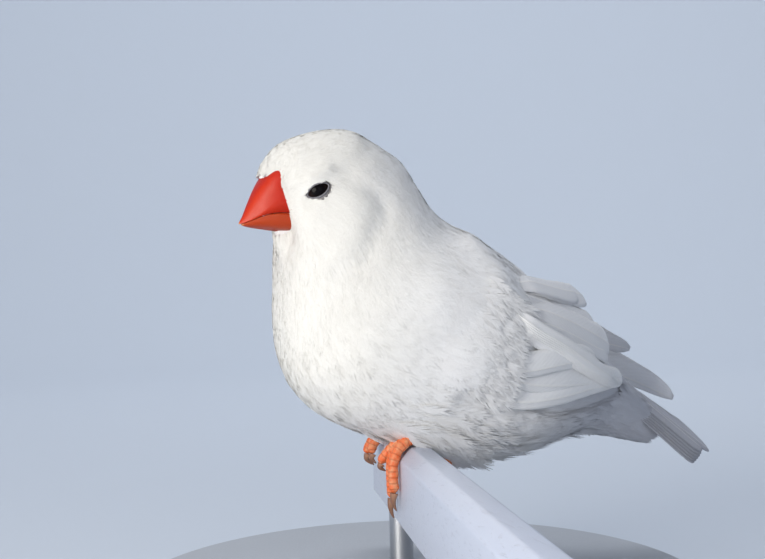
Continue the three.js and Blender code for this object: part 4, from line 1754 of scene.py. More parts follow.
@dataclass
class Bill:
    """The two mandibles.

    A row is one section, from root to tip: y, z of the ridge, z of the cutting edge, half width, and
    the power that squares it. nostril is the place of the left one, before the head's turn.
    """

    upper: tuple[tuple[float, float, float, float, float], ...] = (
        (-20.9, 77.4, 69.0, 4.30, 6.0), (-22.9, 77.3, 69.0, 4.30, 6.0), (-24.6, 76.5, 69.1, 4.05, 5.5),
        (-26.3, 75.1, 68.95, 3.35, 3.6), (-27.7, 73.2, 68.5, 2.5, 2.5), (-28.9, 70.9, 67.95, 1.60, 2.1),
        (-29.8, 68.9, 67.6, 0.85, 2.0), (-30.35, 67.95, 67.42, 0.38, 2.0), (-30.55, 67.6, 67.38, 0.10, 2.0))
    lower: tuple[tuple[float, float, float, float, float], ...] = (
        (-20.9, 66.0, 68.95, 4.15, 3.0), (-22.9, 66.2, 68.95, 4.10, 3.0), (-24.6, 66.45, 69.02, 3.75, 2.8),
        (-26.3, 66.65, 68.86, 3.05, 2.4), (-27.7, 66.80, 68.42, 2.25, 2.2), (-28.9, 66.95, 67.88, 1.40, 2.0),
        (-29.7, 67.10, 67.56, 0.70, 2.0), (-30.1, 67.25, 67.44, 0.25, 2.0))
    rows: int = 64
    columns: int = 40
    nostril: Point = (3.1, -24.0, 73.6)

    def mandible(self, table: Sequence[Sequence[float]], sign: float) -> MeshData:
        """One mandible.

        Over its outer side a ring runs from cutting edge to ridge to cutting edge as a superellipse,
        x = half |cos a|^(2/n), z = edge + rise |sin a|^(2/n) for a from 0 to pi, with a faint keel on
        the ridge; inside it returns along a shallow hollow.

        Args:
            table: Its rows.
            sign: 1 for the upper and -1 for the lower.

        Returns:
            Arguments of mesh_object.
        """
        t = np.linspace(0, len(table) - 1, self.rows)
        y, ridge, edge, half, power = smooth_rows(np.array(table), t).T
        half = np.maximum(half, 0.06)
        a = np.linspace(0, math.pi, self.columns)[None, :]
        over = np.abs(np.sin(a)) ** (2 / power[:, None])
        x = half[:, None] * np.sign(np.cos(a)) * np.abs(np.cos(a)) ** (2 / power[:, None])
        rise = (ridge - edge)[:, None]
        keel = 0.05 * half[:, None] * np.exp(-((x / (0.16 * half[:, None] + 0.05)) ** 2)) * sign
        roll = 0.10 * np.exp(-((over / 0.10) ** 2)) * half[:, None] * 0.35
        z = edge[:, None] + rise * over + keel
        x = x + np.sign(x) * roll
        out = np.stack([x, np.broadcast_to(y[:, None], x.shape), z], -1)
        b = np.linspace(-1, 1, 10)[None, 1:-1]
        inside = np.stack([
            half[:, None] * b,
            np.broadcast_to(y[:, None], (self.rows, b.shape[1])),
            edge[:, None] + sign * 0.25 * half[:, None] * (1 - b**2) + 0 * b,
        ], -1)
        rings = np.concatenate([out, inside], 1)
        if sign > 0:
            for side in (-1, 1):
                hole = np.array([side * self.nostril[0], *self.nostril[1:]])
                away = (rings - hole) / np.array([1.6, 0.62, 0.62])
                depth = np.exp(-((away**2).sum(-1)))
                rings = rings - depth[..., None] * np.array([side * 0.55, 0.0, 0.25])
        points, quads, triangles = closed_tube(turned_head(rings))
        u = np.concatenate([a[0] / math.pi, np.zeros(b.shape[1])])
        horn = end_capped(u[None, :], np.linspace(0, 1, self.rows)[:, None])
        return {"points": points, "quads": quads, "triangles": triangles, "uv": {"Horn": horn}}

    def build(self, upper_finish: Material, lower_finish: Material) -> None:
        """Meshes both mandibles.

        Args:
            upper_finish: Finish of the upper mandible.
            lower_finish: Finish of the lower.
        """
        rows = ("bill_upper", upper_finish, self.upper, 1.0), ("bill_lower", lower_finish, self.lower, -1.0)
        for node, finish, table, sign in rows:
            horn = make_piece(f"{node}_horn", materials=[finish], slot="bill", **self.mandible(table, sign))
            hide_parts(node)


# The feet


# the perch: its turn, its directions, its section and ends in millimetres, and a toe's middle over it
PERCH_YAW = math.radians(12.2)
ALONG = np.array([math.cos(PERCH_YAW), -math.sin(PERCH_YAW), 0.0])
FRONT = np.array([-math.sin(PERCH_YAW), -math.cos(PERCH_YAW), 0.0])
PERCH_TOP, PERCH_BOTTOM, PERCH_HALF, PERCH_CHAMFER = 30.0, 17.0, 3.5, 2.0
PERCH_ENDS = (-26.0, 92.0)
REST = 1.12


def on_perch(along: float, front: float, z: float) -> Array:
    """A point by its place along the perch, in front of its middle line, and its height."""
    return ALONG * along + FRONT * front + np.array([0.0, 0.0, z])


@dataclass(frozen=True)
class Toe:
    """One toe: where it ends along the perch, how far out and down, its arch and claw length.

    facing is 1 for a toe in front of the perch and -1 for the hind toe.
    """

    name: str
    end: float
    out: float
    down: float
    arch: float
    claw: float
    facing: float = 1.0

    def path(self, along: float) -> Array:
        """Points from the ankle joint over the perch's edge to the toe's tip.

        Args:
            along: The ankle's place along the perch.

        Returns:
            (5, 3) points.
        """
        first, second, third = (along + (self.end - along) * share for share in (0.3, 0.6, 0.85))
        outer = PERCH_HALF + REST + self.out
        bend = min(2.6, self.down * 0.66)
        return np.array([
            on_perch(along, -self.facing * 0.2, PERCH_TOP + REST + 0.5),
            on_perch(first, self.facing * 1.5, PERCH_TOP + REST + 0.15 + self.arch * 0.4),
            on_perch(second, self.facing * (PERCH_HALF - 0.05 + self.arch), PERCH_TOP + self.arch * 0.3),
            on_perch(third, self.facing * (outer - self.out * 0.4 + self.arch * 0.7), PERCH_TOP - bend),
            on_perch(self.end, self.facing * outer, PERCH_TOP - self.down),
        ])

    def claw_path(self, along: float) -> Array:
        """Points down the middle of the claw, which curls in under the perch's edge.

        Args:
            along: The ankle's place along the perch.

        Returns:
            (3, 3) points.
        """
        end = self.path(along)[-1]
        inward = -self.facing * FRONT
        down = np.array([0.0, 0.0, -1.0])
        return np.array([
            end + down * 0.1,
            end + down * self.claw * 0.5 + inward * 0.1,
            end + down * self.claw + inward * (0.3 + self.out * 0.3),
        ])


def rings_along(centre: Array, outward: Array, a: Array, across: Array, beside: Array) -> Array:
    """Rings round a line: across cos a towards the outer side, and beside sin a to the side of it.

    Args:
        centre: (m, 3) middle line.
        outward: (m, 3) outer directions, squared up to the line here.
        a: (1, n) angles.
        across: (m, n) radii in the outer direction.
        beside: (m, n) radii to the side.

    Returns:
        (m, n, 3) points.
    """
    tangent = unit(np.gradient(centre, axis=0))
    outer = unit(outward - (outward * tangent).sum(1, keepdims=True) * tangent)
    side = np.cross(tangent, outer)
    return centre[:, None] + (
        (across * np.cos(a))[..., None] * outer[:, None] + (beside * np.sin(a))[..., None] * side[:, None])


@dataclass
class Foot:
    """One foot: four toes, four claws and the bare part of the shank.

    along is the ankle's place along the perch, and scute the length of one scale.
    """

    side: str
    along: float
    toes: tuple[Toe, ...]
    toe_radius: float = 1.0
    tip_radius: float = 0.78
    shank_radius: float = 1.15
    rows: int = 110
    columns: int = 28
    scute: float = 0.95
    claw_flat: float = 0.82

    def tube(self, path: Array, radii: Array, outward: Array, pads: float) -> MeshData:
        """A scaly tube along a path.

        The radius at angle a (0 on the outer side) swells by |sin(pi n)|^0.4 on the outer side, n
        counting scales, and by sin(pi n / pads)^2 on the inner side, and closes round at the end.

        Args:
            path: Rows of points down its middle.
            radii: Radius at each row.
            outward: Outer direction at each row.
            pads: Scales to one pad of the sole, or 0 for none.

        Returns:
            Arguments of mesh_object, with the number of the scales' material.
        """
        t = np.linspace(0, len(path) - 1, self.rows)
        centre = smooth_rows(path, t)
        radius = np.interp(t, np.arange(len(radii)), radii)
        walk = np.concatenate([[0.0], np.cumsum(np.linalg.norm(np.diff(centre, axis=0), axis=1))])
        a = turn_angles(self.columns)[None, :]
        n = (walk / self.scute)[:, None]
        upper = smoothstep(-0.1, 0.5, np.cos(a))
        scute = np.abs(np.sin(math.pi * n)) ** 0.4
        lower = smoothstep(0.1, 0.8, -np.cos(a))
        pad = np.sin(math.pi * n / pads) ** 2 if pads else 0.0
        grain = 0.02 * np.sin(math.pi * 2 * n) * np.sin(6 * a)
        close = np.sqrt(np.clip((walk[-1] - walk) / 0.7, 0.02, 1.0))[:, None]
        size = radius[:, None] * (0.94 + 0.09 * upper * scute + 0.13 * lower * pad + grain) * close
        points, quads, triangles = closed_tube(rings_along(centre, smooth_rows(outward, t), a, size, size))
        scale = np.stack(np.broadcast_arrays(a / (2 * math.pi), n), -1).reshape(-1, 2)
        scale = np.concatenate([scale, scale[:1], scale[-1:]])
        return {"points": points, "quads": quads, "triangles": triangles, "uv": {"Scale": scale}, "slot": 1}

    def skin(self) -> list[MeshData]:
        """Toes and shank, as parts of the bird's one skin.

        Returns:
            Arguments of mesh_object for each.
        """
        rise = np.array([0.0, 0.0, 1.0])
        parts = []
        for toe in self.toes:
            path = toe.path(self.along)
            radii = np.linspace(self.toe_radius, self.tip_radius, len(path))
            ahead = FRONT * toe.facing
            outward = np.array([rise, rise, (ahead + rise) * 0.7, ahead, ahead])
            parts.append(self.tube(path, radii, outward, 2.6))
        joint = on_perch(self.along, -0.2, PERCH_TOP + REST + 0.5)
        shank = joint + np.array([rise * -0.7, rise * 1.6 - FRONT * 0.45, rise * 4.0 - FRONT * 1.4])
        outward = np.repeat(FRONT[None], 3, 0)
        parts.append(self.tube(shank, np.array([1.15, 1.0, 1.05]) * self.shank_radius, outward, 0.0))
        return parts

    def claws(self, finish: Material) -> None:
        """The four claws: tapering horn with a keel, curling down.

        Args:
            finish: Their finish.
        """
        for toe in self.toes:
            path = toe.claw_path(self.along)
            t = np.linspace(0, 2, 36)
            centre = smooth_rows(path, t)
            q = t / 2
            centre = centre + FRONT * toe.facing * 0.28 * np.sin(math.pi * q)[:, None]
            outward = np.repeat((FRONT * toe.facing)[None], len(t), 0)
            a = turn_angles(20)[None, :]
            radius = (0.6 * (1 - q) ** 0.75 + 0.05)[:, None] * (1 + 0.12 * np.maximum(np.cos(a), 0) ** 6)
            points, quads, triangles = closed_tube(
                rings_along(centre, outward, a, radius, radius * self.claw_flat))
            across = 0.5 + 0.5 * a / math.pi * np.where(a < math.pi, 1, -1) + np.where(a < math.pi, 0, 1)
            horn = end_capped(across % 1.0, q[:, None])
            node = f"claw_{self.side}_{toe.name}"
            claw = make_piece(
                f"{node}_horn", points, quads, [finish], "claws", uv={"Horn": horn}, triangles=triangles)
            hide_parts(node)


FEET = (
    Foot("left", 8.6, (
        Toe("inner", 5.0, 1.3, 3.1, 0.3, 1.3),
        Toe("middle", 7.2, 0.0, 8.6, 0.0, 3.4),
        Toe("outer", 10.4, 0.0, 7.2, 0.0, 3.0),
        Toe("hind", 8.2, 0.0, 6.4, 0.0, 2.8, -1.0))),
    Foot("right", -11.0, (
        Toe("inner", -8.8, 1.0, 3.4, 0.5, 1.8),
        Toe("middle", -11.6, 1.6, 3.8, 0.7, 2.0),
        Toe("outer", -14.6, 0.6, 4.4, 0.3, 2.0),
        Toe("hind", -11.4, 0.0, 6.4, 0.0, 2.8, -1.0))),
)


# Skin and coat


@dataclass
class Skin:
    """The one skin under the coat, which carries on as the scaly skin of the feet."""

    rows: int = 220
    columns: int = 240

    def build(self, form: BodyForm, down: Material, scales: Material) -> None:
        """Meshes the body's skin from the form at height 0, with both feet.

        Args:
            form: The body.
            down: Finish of the body's skin.
            scales: Finish of the feet.
        """
        s = np.linspace(0.0, form.high, self.rows)
        phi = turn_angles(self.columns)
        ss, pp = (a.reshape(-1) for a in np.meshgrid(s, phi, indexing="ij"))
        rings = form.at(ss, pp, np.zeros_like(ss)).reshape(self.rows, self.columns, 3)
        points, quads, triangles = closed_tube(rings)
        body = {"points": points, "quads": quads, "triangles": triangles, "slot": 0}
        parts = [body, *(part for foot in FEET for part in foot.skin())]
        skin = make_piece("skin", materials=[down, scales], slot="feathers", **joined(parts))
        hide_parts("head", "neck", "trunk", "leg_left", "leg_right")


class Region(Enum):
    """Pieces of the coat: name, first and last station, first and last angle from the top."""

    FOREHEAD = ("forehead", -0.15, 2.6, 0.0, 1.5)
    CHIN = ("chin", -0.15, 2.6, 1.5, 3.2)
    CROWN = ("crown", 2.6, 5.6, 0.0, 1.5)
    CHEEKS = ("cheeks", 2.6, 5.6, 1.5, 3.2)
    MANTLE = ("mantle", 5.6, 9.4, 0.0, 1.45)
    BREAST = ("breast", 5.6, 9.4, 1.45, 3.2)
    BACK = ("back", 9.4, 13.4, 0.0, 1.55)
    BELLY = ("belly", 9.4, 13.4, 1.55, 3.2)
    RUMP = ("rump", 13.4, 17.0, 0.0, 1.57)
    VENT = ("vent", 13.4, 17.0, 1.57, 3.2)


# the head's feathers have shorter, broader barbs, down to the station where the neck ends
HEAD_BARBS = Barbs(pairs=4, spans=2, wide=0.13, stray=0.04, dome=0.12, uneven=0.03)
BODY_BARBS = Barbs(pairs=7, spans=3, wide=0.075, stray=0.06, dome=0.10, uneven=0.035)
NECK_LAST = 5.6


def from_top(phi: Array) -> Array:
    """Angles round the body as their distance from the top, 0 to pi."""
    return np.abs((phi + math.pi) % (2 * math.pi) - math.pi)


@dataclass
class Coat:
    """Every small feather of the body.

    hang is how far the belly's feathers stand out over the feet, fading over hang_reach.
    """

    plumage: Plumage = Plumage()
    seed: int = 11
    hang: float = 3.0
    hang_reach: float = 6.0

    def _near_wing(self, points: Array, sheets: Sequence[Sheet], first: float, last: float) -> Array:
        """1 where the stretch from first to last of a wing sheet lies close, fading to 0 away from it.

        Args:
            points: (n, 3) points.
            sheets: The sheets.
            first: Start along them.
            last: End along them.

        Returns:
            (n,) shares.
        """
        along, across = np.linspace(first, last, 22), np.linspace(0, 1, 14)
        t, v = (a.reshape(-1) for a in np.meshgrid(along, across, indexing="ij"))
        cloud = np.concatenate([sheet.at(t, v, np.zeros_like(t)) for sheet in sheets])
        nearest = [((part[:, None] - cloud[None]) ** 2).sum(-1).min(1) for part in np.array_split(points, 40)]
        return 1 - smoothstep(1.4, 3.0, np.sqrt(np.concatenate(nearest)))

    def _clear_of_eyes(self, form: BodyForm, feathers: Feathers, eyes: Sequence[Eye]) -> Feathers:
        """Cuts short or leaves out the feathers that would reach over an eye's opening.

        Args:
            form: The body.
            feathers: The feathers.
            eyes: Both eyes.

        Returns:
            Those that are left.
        """
        metric = form.look(feathers.s, feathers.phi, form.metric)
        reach = np.ones(len(feathers.s))
        for part in np.linspace(1.0, 0.0, 9):
            s = feathers.s + feathers.length * part * np.cos(feathers.yaw) / metric[:, 0]
            phi = feathers.phi + feathers.length * part * np.sin(feathers.yaw) / np.maximum(metric[:, 1], 1.2)
            spot = form.at(s, phi, form.depth(s))
            inside = np.minimum(*(eye.opening(spot, 0.55) for eye in eyes)) < 1
            reach = np.where(inside, np.minimum(reach, part), reach)
        keep = reach > 0.3
        feathers.length = feathers.length * np.where(reach < 1, np.maximum(reach - 0.05, 0.2), 1.0)
        return feathers.pick(keep)

    def feathers(self, form: BodyForm, eyes: Sequence[Eye]) -> Feathers:
        """All feathers of the body, before they are shared out among the pieces.

        Args:
            form: The body.
            eyes: Both eyes.

        Returns:
            The feathers.
        """
        rng = np.random.default_rng(self.seed)
        s, phi = sow(form, self.plumage, (-0.15, form.high - 0.15), self.seed)
        n = len(s)
        depth = form.depth(np.clip(s, 0, form.high))
        length = self.plumage.at("length", s) * rng.uniform(0.82, 1.18, n)
        turn = from_top(phi)
        # breast, belly and flanks are looser than the rest
        loose = smoothstep(5.0, 9.0, s) * smoothstep(1.2, 2.4, turn)
        low = depth * (0.86 - 0.12 * loose)
        high = depth * (1.01 + rng.normal(0, 0.012, n) + loose * rng.normal(0.02, 0.03, n))
        yaw = rng.normal(0, 1, n) * (0.05 + 0.08 * loose)
        curl = -0.02 * length * rng.random(n)
        width = length * self.plumage.slim * rng.uniform(0.9, 1.15, n)
        out = Feathers(s, phi, length, width, low, high, yaw, curl)
        # flat under the wings, and raised where they overlap the wings' roots
        spots = form.at(s, phi, depth)
        hands = LEFT_HAND, RIGHT_HAND
        arms = LEFT_ARM, LEFT_BACK, RIGHT_ARM, RIGHT_BACK
        under = np.maximum(
            self._near_wing(spots, hands, 0.24, 1.0), self._near_wing(spots, arms, 0.14, 1.0))
        over = (1 - under) * np.maximum(
            self._near_wing(spots, hands, -0.2, 0.08), self._near_wing(spots, arms, -0.3, -0.1))
        out.high = out.high * (1 - 0.5 * under) + 0.2 * over
        out.low = out.low * (1 - 0.5 * under) + 0.2 * over
        for foot in FEET:
            above = on_perch(foot.along + 1.6 * np.sign(foot.along), -2.0, PERCH_TOP + 2.0)
            hang = np.exp(-((np.linalg.norm(spots - above, axis=1) / self.hang_reach) ** 2))
            out.high = out.high + self.hang * hang
            out.low = out.low + self.hang * 0.4 * hang
            out.length = out.length * (1 + 0.25 * hang)
        # some loose ends along the belly
        down = smoothstep(2.0, 2.6, turn) * smoothstep(9.5, 11.0, s)
        fringe = rng.random(n) < 0.14 * down * (s < 15.0)
        out.high = out.high + fringe * rng.uniform(0.2, 0.9, n)
        out.yaw = out.yaw + fringe * rng.normal(0, 0.25, n)
        return self._clear_of_eyes(form, out, eyes)

    def build(self, form: BodyForm, eyes: Sequence[Eye], finish: Material) -> None:
        """Meshes the coat, one piece for each region.

        Args:
            form: The body.
            eyes: Both eyes.
            finish: The coat's finish.
        """
        every = self.feathers(form, eyes)
        turn = from_top(every.phi)
        for number, region in enumerate(Region):
            name, s_low, s_high, turn_low, turn_high = region.value
            along = (every.s >= s_low - 0.5 * (s_low < 0)) & (every.s < s_high)
            mine = every.pick(along & (turn >= turn_low) & (turn < turn_high))
            barbs = HEAD_BARBS if s_high <= NECK_LAST else BODY_BARBS
            laid = lay_feathers(form, mine, barbs, self.seed + number + 1)
            LOG.info("%s: %d feathers", name, len(mine.s))
            make_piece(f"coat_{name}", materials=[finish], slot="feathers", **laid)


# The perch and the stand


@dataclass
class Perch:
    """A short cut length of plastic bar with chamfered long edges, each rounded by edge."""

    edge: float = 0.35

    def build(self, finish: Material) -> None:
        """Meshes the bar: the section's corners are rounded, and each end is rounded over.

        Args:
            finish: Its finish.
        """
        h, c = PERCH_HALF, PERCH_CHAMFER
        corners = np.array([
            (h, PERCH_BOTTOM), (h, PERCH_TOP - c), (h - c, PERCH_TOP),
            (-h + c, PERCH_TOP), (-h, PERCH_TOP - c), (-h, PERCH_BOTTOM)])
        section = rounded(corners, self.edge, 5)
        middle = np.array([0.0, (PERCH_TOP + PERCH_BOTTOM) / 2])
        rings = []
        low, high = PERCH_ENDS
        for along, inset in (
            (low, self.edge), (low + 0.1, 0.1), (low + self.edge, 0.0), (low + 30, 0.0), (low + 70, 0.0),
            (high - self.edge, 0.0), (high - 0.1, 0.1), (high, self.edge),
        ):
            away = section - middle
            size = 1 - inset / np.linalg.norm(away, axis=1, keepdims=True)
            ring = middle + away * size
            rings.append([on_perch(along, front, z) for front, z in ring])
        points, quads, triangles = closed_tube(np.array(rings))
        bar = make_piece("perch_bar", points, quads, [finish], "perch", triangles=triangles)
        sharpen(bar, 40.0)
        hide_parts("perch")


def rounded(corners: Array, radius: float, steps: int) -> Array:
    """A closed outline with every corner replaced by a small curve.

    Args:
        corners: (n, 2) corners.
        radius: How far from a corner its curve starts.
        steps: Points in a curve.

    Returns:
        (n steps, 2) points.
    """
    out = []
    for i, corner in enumerate(corners):
        before, after = corners[i - 1], corners[(i + 1) % len(corners)]
        a = corner + (before - corner) / np.linalg.norm(before - corner) * radius
        b = corner + (after - corner) / np.linalg.norm(after - corner) * radius
        q = np.linspace(0, 1, steps)[:, None]
        out.append(a * (1 - q) ** 2 + 2 * corner * q * (1 - q) + b * q**2)
    return np.concatenate(out)


def sharpen(piece: bpy.types.Object, degrees: float) -> None:
    """Marks edges that bend more than an angle as sharp."""
    piece.data.set_sharp_from_angle(angle=math.radians(degrees))


def lathe(
    name: str, profile: Array, place: Array, sides: int, finish: Material, slot: str
) -> bpy.types.Object:
    """A turned piece.

    Args:
        name: Name of the piece.
        profile: Rows of radius and height.
        place: x and y of its axis.
        sides: Number of vertices in a ring.
        finish: Its finish.
        slot: The record's material slot.

    Returns:
        The piece.
    """
    a = turn_angles(sides)
    x = profile[:, :1] * np.cos(a) + place[0]
    y = profile[:, :1] * np.sin(a) + place[1]
    z = np.broadcast_to(profile[:, 1:], x.shape)
    points, quads, triangles = closed_tube(np.stack([x, y, z], -1))
    piece = make_piece(name, points, quads, [finish], slot, triangles=triangles)
    sharpen(piece, 35.0)
    return piece


@dataclass
class Stand:
    """A round weighted base and two rods up to the perch; rods holds their places along the perch."""

    radius: float = 50.0
    thick: float = 6.0
    edge: float = 1.0
    rod_radius: float = 2.2
    rods: tuple[float, float] = (-14.0, 32.0)

    def build(self, base_finish: Material, rod_finish: Material) -> None:
        """Meshes the base and the rods.

        Args:
            base_finish: Finish of the base.
            rod_finish: Finish of the rods.
        """
        turn = np.linspace(0, math.pi / 2, 8)
        e = self.edge
        profile = [(self.radius - 0.6, 0.0), (self.radius, 0.6)]
        profile += [(self.radius - e + e * math.cos(t), self.thick - e + e * math.sin(t)) for t in turn]
        profile += [(self.radius * 0.5, self.thick), (4.0, self.thick)]
        base = lathe("stand_base_disc", np.array(profile), np.zeros(2), 160, base_finish, "stand")
        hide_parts("stand_base")
        for number, along in enumerate(self.rods, 1):
            r = self.rod_radius
            profile = np.array([(r - 0.05, self.thick), (r, self.thick + 0.05), (r, 11.0), (r, PERCH_BOTTOM)])
            rod = lathe(f"stand_rod_{number}_bar", profile, on_perch(along, 0, 0)[:2], 48, rod_finish, "rods")
            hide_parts(f"stand_rod_{number}")


# The studio


@dataclass(frozen=True)
class Lamp:
    """A soft oval light: where it stands and what it faces, its width and height, all in millimetres."""

    name: str
    place: Point
    aim: Point
    size: tuple[float, float]
    watts: float
    colour: Colour

    def build(self) -> None:
        """Adds the light to the scene."""
        data = bpy.data.lights.new(self.name, "AREA")
        data.shape, data.energy, data.color = "ELLIPSE", self.watts, self.colour
        data.size, data.size_y = self.size[0] * MM, self.size[1] * MM
        lamp = bpy.data.objects.new(self.name, data)
        bpy.context.scene.collection.objects.link(lamp)
        lamp.location = Vector(self.place) * MM
        lamp.rotation_mode = "QUATERNION"
        lamp.rotation_quaternion = (Vector(self.aim) - Vector(self.place)).to_track_quat("-Z", "Y")


# a large key from ahead of the bird, a weak fill from the camera's side, and one for the sweep behind
BREAST_AT = (0.0, 5.0, 50.0)
LAMPS = (
    Lamp("key", (190.0, -300.0, 112.0), BREAST_AT, (215.0, 215.0), 1.03, (1.0, 0.965, 0.91)),
    Lamp("fill", (430.0, -60.0, 160.0), BREAST_AT, (400.0, 300.0), 0.25, (0.94, 0.95, 1.0)),
    Lamp("sweep", (-300.0, 150.0, 900.0), (-900.0, 320.0, 100.0), (900.0, 900.0), 6.0, (0.95, 0.97, 1.0)),
)


@dataclass
class Studio:
    """Pale floor that sweeps up behind, soft lights, and the camera of the photo.

    The camera's focal length is in pixels of a frame that is width_px wide.
    """

    camera_at: Point = (186.47, -72.45, 57.0)
    heading_deg: float = 160.0
    roll: float = 0.0232
    pitch_deg: float = 0.274
    focal_px: float = 1150.0
    width_px: float = 765.0
    sensor: float = 36.0
    surround: Colour = (0.80, 0.83, 0.92)
    surround_strength: float = 0.30

    def floor(self, finish: Material) -> None:
        """A disc of floor whose rim sweeps up all round, like a shallow bowl with a high wall behind.

        Args:
            finish: Its finish.
        """
        bend = np.linspace(0, math.pi / 2, 40)
        radius = np.concatenate([np.linspace(0.5, 600, 30), 600 + 500 * np.sin(bend[1:]), [1100.0, 1100.0]])
        height = np.concatenate([np.zeros(30), 500 * (1 - np.cos(bend[1:])), [800.0, 1500.0]])
        a = turn_angles(128)
        grid = np.stack([
            radius[:, None] * np.cos(a), radius[:, None] * np.sin(a),
            np.broadcast_to(height[:, None], (len(radius), len(a)))], -1)
        quads = grid_faces(len(radius), len(a), wrap=True)
        mesh_object("floor", grid.reshape(-1, 3), quads, [finish])

    def lights(self) -> None:
        """Puts up the lamps and the even light all round."""
        for lamp in LAMPS:
            lamp.build()
        world = bpy.data.worlds.new("surround")
        world.use_nodes = True
        sockets = world.node_tree.nodes["Background"].inputs
        sockets["Color"].default_value = (*self.surround, 1.0)
        sockets["Strength"].default_value = self.surround_strength
        bpy.context.scene.world = world

    def camera(self) -> None:
        """The camera, from its place, heading, pitch and roll in the photo."""
        heading, pitch = math.radians(self.heading_deg), math.radians(self.pitch_deg)
        level = Vector((math.cos(heading), math.sin(heading), 0.0))
        forward = level * math.cos(pitch) + Vector((0, 0, 1)) * math.sin(pitch)
        right = level.cross(Vector((0, 0, 1)))
        up = right.cross(forward)
        turned_right = right * math.cos(self.roll) - up * math.sin(self.roll)
        turned_up = up * math.cos(self.roll) + right * math.sin(self.roll)
        data = bpy.data.cameras.new("camera")
        data.sensor_width = self.sensor
        data.lens = self.focal_px * self.sensor / self.width_px
        data.clip_start, data.clip_end = 0.01, 10.0
        camera = bpy.data.objects.new("camera", data)
        bpy.context.scene.collection.objects.link(camera)
        camera.location = Vector(self.camera_at) * MM
        camera.rotation_mode = "QUATERNION"
        camera.rotation_quaternion = Matrix((turned_right, turned_up, -forward)).transposed().to_quaternion()
        bpy.context.scene.camera = camera

    def build(self, finish: Material) -> None:
        """Sets the stage.

        Args:
            finish: Finish of the floor.
        """
        self.floor(finish)
        self.lights()
        self.camera()
        view = bpy.context.scene.view_settings
        view.view_transform = "Standard"
        view.look = "None"
        view.exposure = 0.0


# The two wings


LEFT_WING = Wing("left_wing", "wing_left", (
    (LEFT_HAND, [
        Quill((-0.02, 1.18), (0.99, 0.53), 4.8, 1.25, 0.0, blunt=0.5),
        Quill((-0.02, 0.86), (0.97, 0.50), 4.2, 1.2, -0.25, blunt=0.5),
        Quill((-0.02, 0.92), (0.68, 0.13), 3.2, 1.0, 0.3, blunt=0.8),
        *(Quill((0.0, 0.17 - 0.025 * k), (0.955 - 0.03 * k, 0.575 - 0.049 * k), 1.35, 1.2, 0.5 + 0.13 * k,
                bow=-0.13 + 0.006 * k) for k in range(6)),
    ]),
    (LEFT_ARM, [
        Quill((-0.02, 0.92), (0.93, 0.92), 2.6, 2.0, -0.1, blunt=0.86),
        Quill((-0.02, 0.72), (0.95, 0.60), 3.1, 2.8, -0.4, blunt=0.84),
        Quill((-0.02, 0.50), (0.78, 0.34), 2.8, 2.6, -0.9, blunt=0.84),
    ]),
    (LEFT_BACK, [
        Quill((-0.04, 1.06), (0.92, 0.24), 2.7, 3.0, 0.6, blunt=0.87, skew=0.14),
        Quill((-0.04, 1.06), (0.72, 0.40), 2.5, 2.8, 0.9, blunt=0.86, skew=0.12),
    ]),
), Coverts((-0.10, 0.08), (-0.10, 1.10), 5.4), 41)

RIGHT_WING = Wing("right_wing", "wing_right", (
    (RIGHT_HAND, fan(
        8, Quill((-0.05, 0.86), (1.0, 0.6), 3.8, 1.2, 0.0), Quill((0.0, 0.16), (0.74, 0.36), 3.4, 1.2, 1.1))),
    (RIGHT_ARM, fan(
        5, Quill((0.0, 0.84), (1.02, 0.66), 3.6, 2.4, 0.2), Quill((0.0, 0.2), (0.90, 0.34), 3.4, 2.6, 0.8))),
    (RIGHT_BACK, fan(
        3, Quill((0.0, 0.74), (1.0, 0.66), 3.2, 3.0, 0.5), Quill((0.0, 0.24), (0.86, 0.3), 3.2, 3.0, 1.0))),
), Coverts((-0.06, 0.08), (-0.05, 1.10), 6.0), 43)
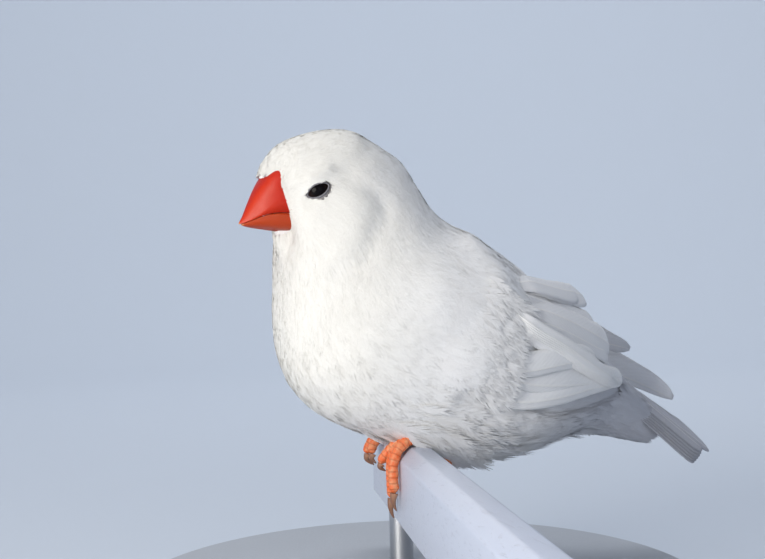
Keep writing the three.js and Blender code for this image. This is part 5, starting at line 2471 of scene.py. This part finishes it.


# The finishes that differ from their kind's own


# painted shade on the wing: greyer towards the rear from 34 mm, and darker on the arm and back sheets by
# their tone
WING_FINISH = FeatherFinish(dull_and_shade=(0.74, 0.75, 0.78), rear_shade_from=34.0, rear_shade_to=60.0, vane=True)
# painted shade: the whole tail is painted grey, greyest towards its end
TAIL_SHADED_FINISH = FeatherFinish((0.50, 0.505, 0.53), (0.50, 0.505, 0.53), (0.38, 0.39, 0.44), vane=True)
UPPER_FINISH = HornFinish(
    (0.57, 0.016, 0.003), (0.62, 0.034, 0.003), (0.72, 0.24, 0.07), (0.42, 0.009, 0.004), (0.66, 0.16, 0.09),
    roughness=0.42)
LOWER_FINISH = HornFinish(
    (0.46, 0.045, 0.004), (0.50, 0.05, 0.003), (0.70, 0.28, 0.10), (0.40, 0.035, 0.005), (0.56, 0.18, 0.09),
    roughness=0.44)
CLAW_FINISH = HornFinish(
    (0.42, 0.22, 0.13), (0.26, 0.14, 0.09), (0.14, 0.08, 0.06), (0.20, 0.10, 0.07), (0.45, 0.33, 0.25),
    roughness=0.32, growth=4.0)
ROD_FINISH = StandFinish((0.56, 0.57, 0.59), 1.0, 0.34, (2.0, 2.0, 0.2), 0.02)


def main() -> None:
    """Builds the model and sets the stage."""
    logging.basicConfig(level=logging.INFO, format="%(message)s")
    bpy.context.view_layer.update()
    form = BodyForm()
    soft = FeatherFinish().material("soft_feather")
    vane = WING_FINISH.material("vane_feather")
    Skin().build(form, SkinFinish().material("down"), ScaleFinish().material("scales"))
    eyes = (Eye(1, "eye_left"), Eye(-1, "eye_right"))
    wet, lids = EyeFinish().material("wet_eye"), LidFinish().material("lid_skin")
    for eye in eyes:
        eye.build(wet, lids)
    Coat().build(form, eyes, soft)
    LEFT_WING.build(form, vane, soft)
    RIGHT_WING.build(form, vane, soft)
    Tail().build(TAIL_SHADED_FINISH.material("tail_vane_shaded"))
    Bill().build(UPPER_FINISH.material("upper_bill"), LOWER_FINISH.material("lower_bill"))
    horn = CLAW_FINISH.material("claw_horn")
    for foot in FEET:
        foot.claws(horn)
    Perch().build(PlasticFinish().material("perch_plastic"))
    Stand().build(StandFinish().material("stand_coat"), ROD_FINISH.material("rod_steel"))
    Studio().build(StageFinish().material("sweep"))


if __name__ == "__main__":
    main()
